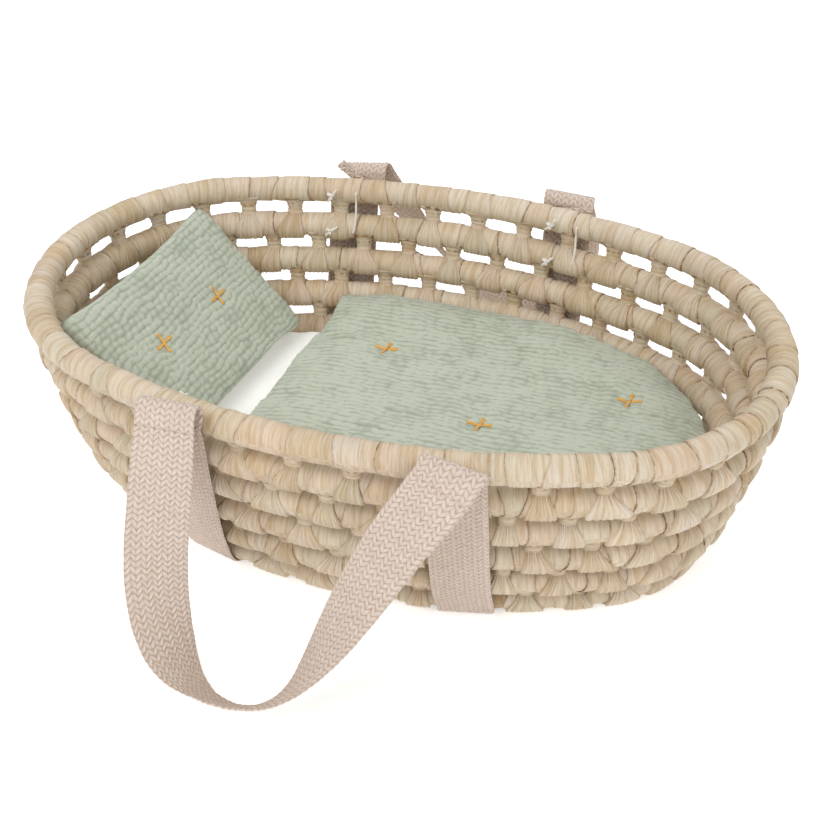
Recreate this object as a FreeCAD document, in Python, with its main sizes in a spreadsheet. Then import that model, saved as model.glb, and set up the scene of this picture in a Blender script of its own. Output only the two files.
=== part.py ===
"""Doll's moses basket: husk-wrapped coils tied in rows, webbing handles and loose bedding.

Frame: origin on the floor under the middle of the base, +Z up, +X from the head end to the
foot end, +Y to the far side.  Millimetres.
"""
import FreeCAD
import Part
import math
import os
import Sketcher

Vector = FreeCAD.Vector
UP = Vector(0, 0, 1)
ALONG = Vector(1, 0, 0)
ACROSS = Vector(0, 1, 0)

doc = FreeCAD.newDocument("doll_moses_basket")
sheet = doc.addObject("Spreadsheet::Sheet", "Sheet")

DIMENSIONS = {
    # plan of the rim coil's centreline and of the lowest wall coil's centreline
    "rim_half_length": 235,
    "rim_half_width": 146,
    "rim_end_radius": 126,
    "floor_half_length": 203,
    "floor_half_width": 113,
    "floor_end_radius": 85,
    "flare_power": 0.685,
    "rim_height": 141,
    "floor_coil_height": 11.4,
    "bar_half_length": 90,
    # husk coil: filling, wrapped strips and the ties between neighbouring coils
    "core_radius": 7.3,
    "wrap_inner_radius": 7.6,
    "wrap_radius": 8.5,
    "strip_length": 34,
    "strip_gap": 0.5,
    "tie_gap": 0.3,
    "tie_thickness": 0.7,
    "wall_tie_width": 10,
    "base_tie_width": 6,
    "wall_tie_count": 36,
    "base_tie_lean": 0.35,
    "bar_tie_spacing": 9,
    # cotton webbing
    "webbing_width": 35,
    "webbing_thickness": 1.3,
    "webbing_clearance": 0.6,
    "band_offset": 81,
    "band_top": 143,
    "fold_radius": 5,
    "hinge_reach": 155.5,
    "hinge_height": 150.5,
    "handle_half_span": 79.3,
    "handle_low_point": 14.5,
    "handle_low_reach": 229.3,
    "handle_shift": 27,
    "handle_belly": 4.6,
    "handle_squareness": 0.743,
    "handle_turn_power": 1.787,
    "handle_low_tilt": 49.6,
    "handle_end_share": 0.02,
    # twine loops that lash the webbing to the two top coils
    "twine_radius": 0.6,
    "twine_loop_radius": 11.3,
    "twine_hole_radius": 1.0,
    "twine_spacing": 24,
    "twine_clearance": 0.4,
    "twine_edge": 2.4,
    "knot_radius": 2.0,
    # mattress
    "mattress_half_length": 195,
    "mattress_half_width": 105,
    "mattress_end_radius": 78,
    "mattress_bottom": 21.2,
    "mattress_top": 50,
    "cover_thickness": 1,
    "filling_gap": 0.3,
    # quilt
    "quilt_half_length": 206,
    "quilt_half_width": 116.5,
    "quilt_end_radius": 92,
    "quilt_head_far": -80,
    "quilt_head_near": -95,
    "quilt_bottom": 50.6,
    "quilt_thickness": 20,
    "quilt_rounding": 6,
    # pillow
    "pillow_length": 164,
    "pillow_width": 110,
    "pillow_thickness": 20,
    "pillow_corner": 16,
    "pillow_rounding": 7,
    "pillow_x": -149,
    "pillow_y": 2,
    "pillow_z": 95.5,
    "pillow_tilt": 45,
    "pillow_yaw": -5.9,
    # embroidered crosses
    "cross_length": 20,
    "cross_width": 14,
    "cross_angle": 75,
    "thread_width": 1.2,
    "thread_height": 0.6,
    "thread_gap": 0.1,
}

for row, (alias, number) in enumerate(DIMENSIONS.items(), start=1):
    sheet.set(f"A{row}", alias)
    sheet.set(f"B{row}", str(number))
    sheet.setAlias(f"B{row}", alias)
doc.recompute()

WALL_ROWS = ["rim", "row_2", "row_3", "row_4", "row_5", "row_6"]
BASE_RINGS = ["base_ring_1", "base_ring_2", "base_ring_3", "base_ring_4"]
LASHED_ROWS = WALL_ROWS[:2]
# along, across and turn in degrees of each embroidered cross
QUILT_CROSSES = [(-25, 49, 20), (59, -15, 35), (147, 38, 15)]
PILLOW_CROSSES = [(-36, 3, 35), (31, 1, 50)]
# number of steps in the curved runs of webbing
FOLD_STEPS = 6
STRAP_STEPS = 30
BAND_TURN_STEPS = 6
# step for reading a curve's tangent, in radians
TANGENT_STEP = 0.001
# a hollowed cover keeps less than this share of the solid block's volume
HOLLOW_SHARE = 0.6
parts = []


def size(alias):
    """A dimension's number, as the sheet holds it."""
    return float(getattr(sheet, alias))


# ---------------------------------------------------------------- plan ovals
class Oval:
    """Four-arc oval: two end arcs and two long side arcs that meet tangentially."""

    def __init__(self, half_length, half_width, end_radius, height=0.0):
        self.half_length = half_length
        self.half_width = half_width
        self.end_radius = end_radius
        self.height = height
        reach = half_length - end_radius
        self.side_radius = (reach ** 2 + half_width ** 2 - end_radius ** 2) / (
            2 * (half_width - end_radius))
        self.end_centre = reach
        self.side_centre = self.side_radius - half_width
        self.join = math.atan2(self.side_centre, self.end_centre)

    def arcs(self):
        """Centre, radius, first and last angle of each arc, from the foot end round."""
        join = self.join
        return [
            (Vector(self.end_centre, 0, self.height), self.end_radius, -join, join),
            (Vector(0, -self.side_centre, self.height), self.side_radius, join, math.pi - join),
            (Vector(-self.end_centre, 0, self.height), self.end_radius, math.pi - join,
             math.pi + join),
            (Vector(0, self.side_centre, self.height), self.side_radius, math.pi + join,
             2 * math.pi - join),
        ]

    def at(self, share):
        """Point, tangent and radius of curvature at a share of the way round."""
        arcs = self.arcs()
        lengths = [radius * (last - first) for _, radius, first, last in arcs]
        left = (share % 1.0) * sum(lengths)
        for (centre, radius, first, _), length in zip(arcs, lengths):
            if left <= length:
                break
            left -= length
        angle = first + left / radius
        outward = Vector(math.cos(angle), math.sin(angle), 0)
        return centre + outward * radius, UP.cross(outward), radius

    def nearest(self, point):
        """Share, point and tangent of the place on this oval that is nearest to a point."""
        places = []
        gone = 0.0
        for centre, radius, first, last in self.arcs():
            angle = math.atan2(point.y - centre.y, point.x - centre.x)
            while angle < first:
                angle += 2 * math.pi
            if angle <= last:
                outward = Vector(math.cos(angle), math.sin(angle), 0)
                spot = centre + outward * radius
                share = (gone + radius * (angle - first)) / self.perimeter()
                places.append((point.distanceToPoint(spot), share, spot, UP.cross(outward)))
            gone += radius * (last - first)
        return min(places, key=lambda place: place[0])[1:]

    def perimeter(self):
        return sum(radius * (last - first) for _, radius, first, last in self.arcs())

    def side_point(self, x, side):
        """Point and outward direction of the long side (+1 far, -1 near) at one x."""
        angle = math.asin(x / self.side_radius)
        outward = Vector(math.sin(angle), side * math.cos(angle), 0)
        centre = Vector(0, -side * self.side_centre, self.height)
        return centre + outward * self.side_radius, outward


def rim_to_floor(measure, share):
    """Expression for a plan measure at a share of the wall's height."""
    return (f"(Sheet.floor_{measure} + (Sheet.rim_{measure} - Sheet.floor_{measure})"
            f" * {share} ^ Sheet.flare_power)")


def wall_row(index):
    """The four expressions of one wall coil, counted from 0 at the rim."""
    share = 1 - index / (len(WALL_ROWS) - 1)
    rise = "(Sheet.rim_height - Sheet.floor_coil_height)"
    height = f"(Sheet.floor_coil_height + {rise} * {share})"
    return [rim_to_floor("half_length", share), rim_to_floor("half_width", share),
            rim_to_floor("end_radius", share), height]


def base_ring(index):
    """The four expressions of one base ring, counted from 0 outside."""
    share = (index + 1) / (len(BASE_RINGS) + 1)
    return [f"(Sheet.floor_half_length - Sheet.floor_half_width * {share})",
            f"(Sheet.floor_half_width * {1 - share})",
            f"(Sheet.floor_end_radius * {1 - share})",
            "Sheet.floor_coil_height"]


def value(expression):
    """Number that an expression of sheet cells gives."""
    return float(sheet.evalExpression(expression))


# ------------------------------------------------------------ document helpers
def new_body(label):
    body = doc.addObject("PartDesign::Body", label)
    body.Label = label
    parts.append(body)
    return body


def new_sketch(body, name, role):
    sketch = body.newObject("Sketcher::SketchObject", name)
    plane = next(item for item in body.Origin.OriginFeatures if item.Role == role)
    sketch.AttachmentSupport = [(plane, "")]
    sketch.MapMode = "FlatFace"
    return sketch


def bind(sketch, constraint, name, expression):
    """Add a driving constraint and tie it to the sheet."""
    number = sketch.addConstraint(constraint)
    sketch.renameConstraint(number, name)
    sketch.setExpression(f"Constraints.{name}", expression)


def new_group(label, solids):
    """One node made of separate solids."""
    feature = doc.addObject("Part::Feature", label)
    feature.Label = label
    feature.Shape = solids[0] if len(solids) == 1 else Part.makeCompound(solids)
    feature.Placement = FreeCAD.Placement()
    parts.append(feature)
    return feature


def draw_oval(sketch, half_length, half_width, end_radius):
    """Closed four-arc oval, its three measures given as expressions."""
    oval = Oval(value(half_length), value(half_width), value(end_radius))
    make = Sketcher.Constraint
    sketch.addGeometry([Part.ArcOfCircle(Part.Circle(centre, UP, radius), first, last)
                        for centre, radius, first, last in oval.arcs()], False)
    for arc in range(4):
        sketch.addConstraint(make("Tangent", arc, 2, (arc + 1) % 4, 1))
    sketch.addConstraint([make("PointOnObject", 0, 3, -1), make("PointOnObject", 2, 3, -1),
                          make("Equal", 0, 2), make("Equal", 1, 3)])
    reach = f"{half_length} - {end_radius}"
    side = (f"(({reach}) ^ 2 + {half_width} ^ 2 - {end_radius} ^ 2)"
            f" / (2 * ({half_width} - {end_radius}))")
    bind(sketch, make("Radius", 0, oval.end_radius), "end_radius", end_radius)
    bind(sketch, make("Radius", 1, oval.side_radius), "side_radius", side)
    bind(sketch, make("DistanceX", -1, 1, 0, 3, oval.end_centre), "foot_centre", reach)
    bind(sketch, make("DistanceX", 2, 3, -1, 1, oval.end_centre), "head_centre", reach)
    return oval


# ----------------------------------------------------------------------- coils
def coil_core(label, half_length, half_width, end_radius, height):
    """Husk filling of one oval coil: a round section swept along the oval."""
    body = new_body(label)
    path = new_sketch(body, f"{label}_path", "XY_Plane")
    oval = draw_oval(path, half_length, half_width, end_radius)
    oval.height = value(height)
    section = new_sketch(body, f"{label}_section", "XZ_Plane")
    section.addGeometry(Part.Circle(Vector(oval.half_length, 0, 0), UP, size("core_radius")), False)
    make = Sketcher.Constraint
    section.addConstraint(make("PointOnObject", 0, 3, -1))
    bind(section, make("Radius", 0, size("core_radius")), "radius", "Sheet.core_radius")
    bind(section, make("DistanceX", -1, 1, 0, 3, oval.half_length), "reach", half_length)
    doc.recompute()
    sweep = body.newObject("PartDesign::AdditivePipe", f"{label}_sweep")
    sweep.Profile = section
    sweep.Spine = path
    body.setExpression("Placement.Base.z", height)
    return oval


def ring_face(centre, normal, outer_radius, inner_radius):
    rings = [Part.Wire(Part.Circle(centre, normal, radius).toShape())
             for radius in (outer_radius, inner_radius)]
    return Part.Face(rings, "Part::FaceMakerBullseye")


def wrap_strips(oval):
    """Husk strips round an oval coil, as short sleeves with a small gap between them."""
    sleeves = []
    for centre, radius, first, last in oval.arcs():
        count = max(1, round(radius * (last - first) / size("strip_length")))
        step = (last - first) / count
        gap = size("strip_gap") / radius
        for number in range(count):
            start = first + number * step + gap / 2
            outward = Vector(math.cos(start), math.sin(start), 0)
            face = ring_face(centre + outward * radius, UP.cross(outward),
                             size("wrap_radius"), size("wrap_inner_radius"))
            sleeves.append(face.revolve(centre, UP, math.degrees(step - gap)))
    return sleeves


def bar_strips():
    """Husk strips round the straight middle bar of the base."""
    reach = size("bar_half_length") - size("core_radius")
    count = round(2 * reach / size("strip_length"))
    step = 2 * reach / count
    length = step - size("strip_gap")
    return [ring_face(Vector(number * step - reach, 0, size("floor_coil_height")), ALONG,
                      size("wrap_radius"), size("wrap_inner_radius")).extrude(ALONG * length)
            for number in range(count)]


def tie_loop(first, second, along, width, bend):
    """Flat husk loop round two coils; bend is the tighter coil's radius in plan."""
    gap = size("tie_gap") + width ** 2 / (8 * bend)
    inner = size("wrap_radius") + gap
    outer = inner + size("tie_thickness")
    span = second - first
    span = span - along * span.dot(along)
    towards = Vector(span).normalize()
    aside = along.cross(towards)
    start = first - along * (width / 2)
    wires = []
    for radius in (outer, inner):
        corners = [start + aside * radius, start - aside * radius,
                   start + span - aside * radius, start + span + aside * radius]
        wires.append(Part.Wire([
            Part.Arc(corners[0], start - towards * radius, corners[1]).toShape(),
            Part.makeLine(corners[1], corners[2]),
            Part.Arc(corners[2], start + span + towards * radius, corners[3]).toShape(),
            Part.makeLine(corners[3], corners[0])]))
    return Part.Face(wires, "Part::FaceMakerBullseye").extrude(along * width)


def tie_row(upper, lower, shares, width):
    """Ties from an outer or upper oval to its neighbour, their shares there and their ends."""
    loops = []
    landed = []
    ends = []
    for share in shares:
        first, _, first_radius = upper.at(share)
        landing, second, along = lower.nearest(first)
        bend = min(first_radius, lower.at(landing)[2])
        loops.append(tie_loop(first, second, along, width, bend))
        landed.append(landing)
        ends += [first, second]
    return loops, sorted(landed), ends


def between(shares, lean, keep=1):
    """Shares that lie a fixed part of the way from each kept share to the next."""
    spans = zip(shares, shares[1:] + [shares[0] + 1])
    return [(low + lean * (high - low)) % 1.0 for low, high in spans][::keep]


def build_coils():
    ovals = {}
    for index, name in enumerate(WALL_ROWS):
        ovals[name] = coil_core(f"{name}_core", *wall_row(index))
    for index, name in enumerate(BASE_RINGS):
        ovals[name] = coil_core(f"{name}_core", *base_ring(index))
    build_bar()
    for name, oval in ovals.items():
        new_group(f"{name}_wrap", wrap_strips(oval))
    new_group("base_bar_wrap", bar_strips())
    return ovals


def build_bar():
    """Straight husk bar in the middle of the base, revolved with rounded ends."""
    body = new_body("base_bar_core")
    sketch = new_sketch(body, "base_bar_outline", "XZ_Plane")
    make = Sketcher.Constraint
    radius = size("core_radius")
    reach = size("bar_half_length") - radius
    sketch.addGeometry([
        Part.LineSegment(Vector(-reach - radius, 0, 0), Vector(reach + radius, 0, 0)),
        Part.ArcOfCircle(Part.Circle(Vector(reach, 0, 0), UP, radius), 0, math.pi / 2),
        Part.LineSegment(Vector(reach, radius, 0), Vector(-reach, radius, 0)),
        Part.ArcOfCircle(Part.Circle(Vector(-reach, 0, 0), UP, radius), math.pi / 2, math.pi),
    ], False)
    sketch.addConstraint([
        make("Coincident", 0, 2, 1, 1), make("Tangent", 1, 2, 2, 1), make("Tangent", 2, 2, 3, 1),
        make("Coincident", 3, 2, 0, 1), make("PointOnObject", 1, 3, -1),
        make("PointOnObject", 3, 3, -1), make("PointOnObject", 0, 1, -1), make("Horizontal", 2)])
    bind(sketch, make("Radius", 1, radius), "radius", "Sheet.core_radius")
    centre = "Sheet.bar_half_length - Sheet.core_radius"
    bind(sketch, make("DistanceX", -1, 1, 1, 3, reach), "foot_centre", centre)
    bind(sketch, make("DistanceX", 3, 3, -1, 1, reach), "head_centre", centre)
    doc.recompute()
    turned = body.newObject("PartDesign::Revolution", "base_bar_turned")
    turned.Profile = sketch
    turned.ReferenceAxis = (sketch, ["H_Axis"])
    turned.Angle = 360
    body.setExpression("Placement.Base.z", "Sheet.floor_coil_height")


def build_ties(ovals):
    """Ties of the wall and the base; returns the tie ends beside each lashed coil.

    Wall ties stand half a pitch apart from row to row; base ties lean on from ring to ring.
    """
    count = int(size("wall_tie_count"))
    shares = [number / count for number in range(count)]
    beside_lashings = []
    for upper, lower in zip(WALL_ROWS, WALL_ROWS[1:]):
        loops, landed, ends = tie_row(ovals[upper], ovals[lower], shares, size("wall_tie_width"))
        new_group(f"ties_{upper}_to_{lower}", loops)
        shares = between(landed, 0.5)
        if upper in LASHED_ROWS:
            beside_lashings += ends
    rings = [WALL_ROWS[-1]] + BASE_RINGS
    base_loops = []
    for number, (outer, inner) in enumerate(zip(rings, rings[1:])):
        loops, landed, _ = tie_row(ovals[outer], ovals[inner], shares, size("base_tie_width"))
        base_loops += loops
        shares = between(landed, size("base_tie_lean"), keep=2 if number == 0 else 1)
    new_group("base_ties", base_loops)
    new_group("base_bar_ties", bar_tie_loops(ovals[BASE_RINGS[-1]], shares))
    return beside_lashings


def bar_tie_loops(ring, shares):
    """Ties from the innermost ring to the straight bar, kept clear of one another."""
    width = size("base_tie_width")
    reach = size("bar_half_length") - size("core_radius") - width
    taken = []
    loops = []
    for share in shares:
        first, _, _ = ring.at(share)
        clear = all(abs(first.x - other) > size("bar_tie_spacing") for other in taken)
        if abs(first.x) < reach and clear:
            taken.append(first.x)
            second = Vector(first.x, 0, first.z)
            loops.append(tie_loop(first, second, ALONG, width, ring.side_radius))
    return loops


# --------------------------------------------------------------------- webbing
def ribbon(stations):
    """Flat webbing through (centre, width direction, face normal) stations."""
    half_width = size("webbing_width") / 2
    half_thickness = size("webbing_thickness") / 2
    sections = []
    for centre, across, normal in stations:
        corners = [centre + across * (side * half_width) + normal * (face * half_thickness)
                   for side, face in ((-1, -1), (1, -1), (1, 1), (-1, 1))]
        sections.append(Part.makePolygon(corners + corners[:1]))
    return Part.makeLoft(sections, True, True)


def band_stations(ovals, x, side):
    """Stations of one wall run of a band, from under the base up to the rim."""
    wrap = size("wrap_radius") + size("tie_gap") + size("tie_thickness")
    reach = wrap + size("webbing_clearance") + size("webbing_thickness") / 2
    rows = [ovals[name].side_point(x, side) for name in reversed(WALL_ROWS)]
    centres = [point for point, _ in rows]
    slopes = []
    for (low, outward), (high, _) in zip(rows, rows[1:]):
        rise = high - low
        slopes.append(math.atan2(rise.dot(outward), rise.z))
    lean = [slopes[0]] + [(a + b) / 2 for a, b in zip(slopes, slopes[1:])] + [slopes[-1]]
    stations = []
    floor_centre, floor_outward = rows[0]
    for step in range(BAND_TURN_STEPS):
        angle = math.pi / 2 - (math.pi / 2 - lean[0]) * step / BAND_TURN_STEPS
        outward = floor_outward if step else Vector(0, side, 0)
        normal = outward * math.cos(angle) - UP * math.sin(angle)
        stations.append((floor_centre + normal * reach, outward.cross(UP), normal))
    for centre, (_, outward), angle in zip(centres, rows, lean):
        normal = outward * math.cos(angle) - UP * math.sin(angle)
        stations.append((centre + normal * reach, outward.cross(UP), normal))
    last_centre, last_across, last_normal = stations[-1]
    rising = last_across.cross(last_normal)
    rising = rising * (1 if rising.z > 0 else -1)
    climb = (size("band_top") - last_centre.z) / rising.z
    stations.append((last_centre + rising * climb, last_across, last_normal))
    return stations


def build_band(ovals, label, x, stitches):
    """Webbing band from the near side's fold, under the base, to the far side's fold."""
    near = [(centre, across * -1, normal) for centre, across, normal in band_stations(ovals, x, -1)]
    far = band_stations(ovals, x, 1)
    band = ribbon(near[::-1] + far)
    for side in (-1, 1):
        for centre, outward in stitches[x, side]:
            band = band.cut(twine_ring(centre, outward, size("twine_hole_radius")))
    new_group(label, band.Solids)


def clear_place(wanted, middle, ties):
    """The place within the webbing, nearest to the wanted one, where the twine clears the ties."""
    room = size("wall_tie_width") / 2 + size("twine_hole_radius") + size("twine_clearance")
    reach = size("webbing_width") / 2 - size("twine_edge")
    step = size("twine_clearance")
    for number in range(int(size("webbing_width") / step)):
        for place in (wanted + number * step, wanted - number * step):
            clear = all(abs(place - tie) > room for tie in ties)
            if clear and abs(place - middle) < reach:
                return place
    raise RuntimeError("no place for the twine")


def twine_stitches(ovals, tie_ends, x, side):
    """Coil centre and outward direction of the four stitches that hold one band to two coils."""
    ties = [end.x for end in tie_ends if end.y * side > 0]
    half_spacing = size("twine_spacing") / 2
    places = [clear_place(x + shift, x, ties) for shift in (-half_spacing, half_spacing)]
    return [ovals[name].side_point(place, side) for name in LASHED_ROWS for place in places]


def twine_ring(centre, outward, radius):
    """Ring of twine, or of the hole that it needs, round a coil."""
    return Part.makeTorus(size("twine_loop_radius"), radius, centre, outward.cross(UP))


def build_lashing(label, stitches):
    """Twine loops with a knot on the inside of the wall."""
    knotted = []
    for centre, outward in stitches:
        spot = centre - outward * (size("twine_loop_radius") + size("knot_radius") / 2)
        ring = twine_ring(centre, outward, size("twine_radius"))
        knotted.append(ring.fuse(Part.makeSphere(size("knot_radius"), spot)))
    new_group(label, knotted)


def handle_point(angle):
    """Centre of the hanging strap at an angle from 0 (head fold) to 180 degrees (foot fold)."""
    cosine, sine = math.cos(angle), math.sin(angle)
    drop = sine ** 2
    sideways = math.copysign(abs(cosine) ** size("handle_squareness"), cosine)
    start, _ = fold_point(fold_exit())
    belly = size("handle_belly") * math.sin(2 * math.asin(min(1.0, drop)))
    low_y = size("hinge_reach") - size("handle_low_reach")
    low_z = size("handle_low_point") - size("hinge_height")
    return Vector(-size("handle_half_span") * sideways - size("handle_shift") * drop,
                  start.y + (low_y - start.y) * drop + belly,
                  start.z + (low_z - start.z) * drop)


def fold_point(angle):
    """Point and outward normal on the fold's arc, measured about the hinge line."""
    normal = Vector(0, math.cos(angle), math.sin(angle))
    return normal * size("fold_radius"), normal


def fold_exit():
    """Angle at which the strap leaves the fold to hang down and outwards."""
    low_y = size("hinge_reach") - size("handle_low_reach")
    low_z = size("handle_low_point") - size("hinge_height")
    return math.atan2(low_z, low_y + 2 * size("handle_belly")) + 2 * math.pi - math.pi / 2


def handle_stations():
    """Stations of the near handle about its hinge line, from the head fold to the foot fold."""
    fold = []
    for step in range(FOLD_STEPS):
        point, normal = fold_point(fold_exit() * step / FOLD_STEPS)
        fold.append((point, normal))
    head = [(point - ALONG * size("handle_half_span"), ALONG, normal) for point, normal in fold]
    foot = [(point + ALONG * size("handle_half_span"), ALONG, normal) for point, normal in fold]
    strap = []
    low_tilt = math.radians(size("handle_low_tilt"))
    low_across = Vector(0, -math.cos(low_tilt), math.sin(low_tilt))
    end_share = size("handle_end_share")
    for step in range(STRAP_STEPS + 1):
        angle = math.pi * min(max(step / STRAP_STEPS, end_share), 1 - end_share)
        tangent = handle_point(angle + TANGENT_STEP) - handle_point(angle - TANGENT_STEP)
        tangent.normalize()
        level = abs(angle - math.pi / 2) / (math.pi / 2)
        turn = math.pi / 2 * (1 - level) ** size("handle_turn_power")
        sense = -1 if angle < math.pi / 2 else 1
        across = ALONG * (sense * math.cos(turn)) + low_across * math.sin(turn)
        across = (across - tangent * across.dot(tangent)).normalize()
        strap.append((handle_point(angle), across, across.cross(tangent)))
    return align(head + strap + foot[::-1])


def align(stations):
    """Keep the width direction and the normal from flipping between neighbours."""
    _, across, normal = stations[0]
    aligned = []
    for centre, next_across, next_normal in stations:
        if next_across.dot(across) < 0:
            next_across = next_across * -1
        if next_normal.dot(normal) < 0:
            next_normal = next_normal * -1
        across, normal = next_across, next_normal
        aligned.append((centre, across, normal))
    return aligned


def build_handles():
    near = ribbon(handle_stations())
    far = near.mirror(Vector(0, 0, 0), ACROSS)
    for label, shape, side in (("near_handle", near, -1), ("far_handle", far, 1)):
        handle = new_group(label, [shape])
        handle.Placement.Base = Vector(0, side * size("hinge_reach"), size("hinge_height"))


# --------------------------------------------------------------------- bedding
def draw_quilt(sketch, inset):
    """Quilt plan: rounded foot end, long curved sides and a straight, slightly skewed head edge."""
    half_length = f"(Sheet.quilt_half_length - {inset})"
    half_width = f"(Sheet.quilt_half_width - {inset})"
    end_radius = f"(Sheet.quilt_end_radius - {inset})"
    far_x = f"(Sheet.quilt_head_far + {inset})"
    near_x = f"(Sheet.quilt_head_near + {inset})"
    oval = Oval(value(half_length), value(half_width), value(end_radius))
    side = oval.side_radius
    make = Sketcher.Constraint
    far_angle = math.acos(value(far_x) / side)
    near_angle = 2 * math.pi - math.acos(value(near_x) / side)
    far_circle = Part.Circle(Vector(0, -oval.side_centre, 0), UP, side)
    near_circle = Part.Circle(Vector(0, oval.side_centre, 0), UP, side)
    foot_circle = Part.Circle(Vector(oval.end_centre, 0, 0), UP, oval.end_radius)
    near_arc = Part.ArcOfCircle(near_circle, near_angle, 2 * math.pi - oval.join)
    foot_arc = Part.ArcOfCircle(foot_circle, -oval.join, oval.join)
    far_arc = Part.ArcOfCircle(far_circle, oval.join, far_angle)
    head = Part.LineSegment(far_arc.EndPoint, near_arc.StartPoint)
    sketch.addGeometry([near_arc, foot_arc, far_arc, head], False)
    sketch.addConstraint([
        make("Tangent", 0, 2, 1, 1), make("Tangent", 1, 2, 2, 1), make("Coincident", 2, 2, 3, 1),
        make("Coincident", 3, 2, 0, 1), make("PointOnObject", 1, 3, -1),
        make("PointOnObject", 0, 3, -2), make("PointOnObject", 2, 3, -2), make("Equal", 0, 2)])
    reach = f"{half_length} - {end_radius}"
    side_rule = (f"(({reach}) ^ 2 + {half_width} ^ 2 - {end_radius} ^ 2)"
                 f" / (2 * ({half_width} - {end_radius}))")
    bind(sketch, make("Radius", 1, oval.end_radius), "end_radius", end_radius)
    bind(sketch, make("Radius", 0, side), "side_radius", side_rule)
    bind(sketch, make("DistanceX", -1, 1, 1, 3, oval.end_centre), "foot_centre", reach)
    bind(sketch, make("DistanceX", 3, 1, -1, 1, -value(far_x)), "far_corner", f"-{far_x}")
    bind(sketch, make("DistanceX", 3, 2, -1, 1, -value(near_x)), "near_corner", f"-{near_x}")


def draw_mattress(sketch, inset):
    """Mattress plan: an oval that clears the wall all round."""
    draw_oval(sketch, f"(Sheet.mattress_half_length - {inset})",
              f"(Sheet.mattress_half_width - {inset})", f"(Sheet.mattress_end_radius - {inset})")


def draw_pillow(sketch, inset):
    """Pillow plan: a rectangle with rounded corners."""
    half_length = f"(Sheet.pillow_length / 2 - {inset})"
    half_width = f"(Sheet.pillow_width / 2 - {inset})"
    corner = f"(Sheet.pillow_corner - {inset})"
    right, top, radius = value(half_length), value(half_width), value(corner)
    make = Sketcher.Constraint
    lines = [((-right + radius, -top), (right - radius, -top)),
             ((right, -top + radius), (right, top - radius)),
             ((right - radius, top), (-right + radius, top)),
             ((-right, top - radius), (-right, -top + radius))]
    centres = [(right - radius, -top + radius), (right - radius, top - radius),
               (-right + radius, top - radius), (-right + radius, -top + radius)]
    for number in range(4):
        start, end = lines[number]
        sketch.addGeometry(Part.LineSegment(Vector(*start, 0), Vector(*end, 0)), False)
        circle = Part.Circle(Vector(*centres[number], 0), UP, radius)
        first = (number - 1) * math.pi / 2
        sketch.addGeometry(Part.ArcOfCircle(circle, first, first + math.pi / 2), False)
    for number in range(8):
        sketch.addConstraint(make("Tangent", number, 2, (number + 1) % 8, 1))
    sketch.addConstraint([make("Horizontal", 0), make("Vertical", 2), make("Equal", 1, 3),
                          make("Equal", 3, 5), make("Equal", 5, 7)])
    bind(sketch, make("Radius", 1, radius), "corner", corner)
    bind(sketch, make("DistanceY", 0, 1, -1, 1, top), "near_edge", half_width)
    bind(sketch, make("DistanceY", -1, 1, 4, 1, top), "far_edge", half_width)
    bind(sketch, make("DistanceX", -1, 1, 2, 1, right), "right_edge", half_length)
    bind(sketch, make("DistanceX", 6, 1, -1, 1, right), "left_edge", half_length)


def padded_half(label, draw, depth, upward, rounding=None):
    """One half of a cover: a padded outline, rounded outside and hollowed for the filling."""
    body = new_body(label)
    outline = new_sketch(body, f"{label}_outline", "XY_Plane")
    draw(outline, "0")
    doc.recompute()
    block = body.newObject("PartDesign::Pad", f"{label}_block")
    block.Profile = outline
    block.Reversed = not upward
    block.setExpression("Length", depth)
    doc.recompute()
    if rounding:
        faces = block.Shape.Faces
        outer = max(faces, key=lambda face: face.CenterOfMass.z * (1 if upward else -1))
        soft = body.newObject("PartDesign::Fillet", f"{label}_rounding")
        soft.Base = (block, [f"Face{faces.index(outer) + 1}"])
        soft.setExpression("Radius", rounding)
        doc.recompute()
    whole = body.Shape.Volume
    hollow_outline = new_sketch(body, f"{label}_hollow_outline", "XY_Plane")
    draw(hollow_outline, "Sheet.cover_thickness" if not rounding else f"{rounding}")
    doc.recompute()
    hollow = body.newObject("PartDesign::Pocket", f"{label}_hollow")
    hollow.Profile = hollow_outline
    hollow.Reversed = upward
    hollow.setExpression("Length", f"{depth} - Sheet.cover_thickness")
    doc.recompute()
    if not body.Shape.Volume < HOLLOW_SHARE * whole:
        raise RuntimeError(f"{label}: the hollow cut nothing")
    return body


def filling(label, draw, thickness, inset):
    """Stuffing that fills a cover, a little smaller than its hollow."""
    body = new_body(label)
    outline = new_sketch(body, f"{label}_outline", "XY_Plane")
    draw(outline, f"({inset} + Sheet.filling_gap)")
    doc.recompute()
    block = body.newObject("PartDesign::Pad", f"{label}_block")
    block.Profile = outline
    block.Midplane = True
    block.setExpression("Length", f"{thickness} - 2 * (Sheet.cover_thickness + Sheet.filling_gap)")
    return body


def cushion(names, draw, thickness, place, rounding=None):
    """A cover in two halves that meet at a seam, and its filling; place sets a body's position."""
    top, inside, bottom = names
    half = f"({thickness} - Sheet.filling_gap) / 2"
    inset = rounding or "Sheet.cover_thickness"
    place(padded_half(top, draw, half, True, rounding), "Sheet.filling_gap / 2")
    place(padded_half(bottom, draw, half, False, rounding), "-Sheet.filling_gap / 2")
    place(filling(inside, draw, thickness, inset), "0")


def place_mattress(body, lift):
    body.setExpression("Placement.Base.z",
                       f"(Sheet.mattress_bottom + Sheet.mattress_top) / 2 + {lift}")


def place_quilt(body, lift):
    body.setExpression("Placement.Base.z",
                       f"Sheet.quilt_bottom + Sheet.quilt_thickness / 2 + {lift}")


def pillow_rotation():
    """The pillow leans back on the head end: long axis across, face up and towards the foot."""
    return FreeCAD.Rotation(size("pillow_yaw"), size("pillow_tilt"), 0).multiply(
        FreeCAD.Rotation(UP, 90))


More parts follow.
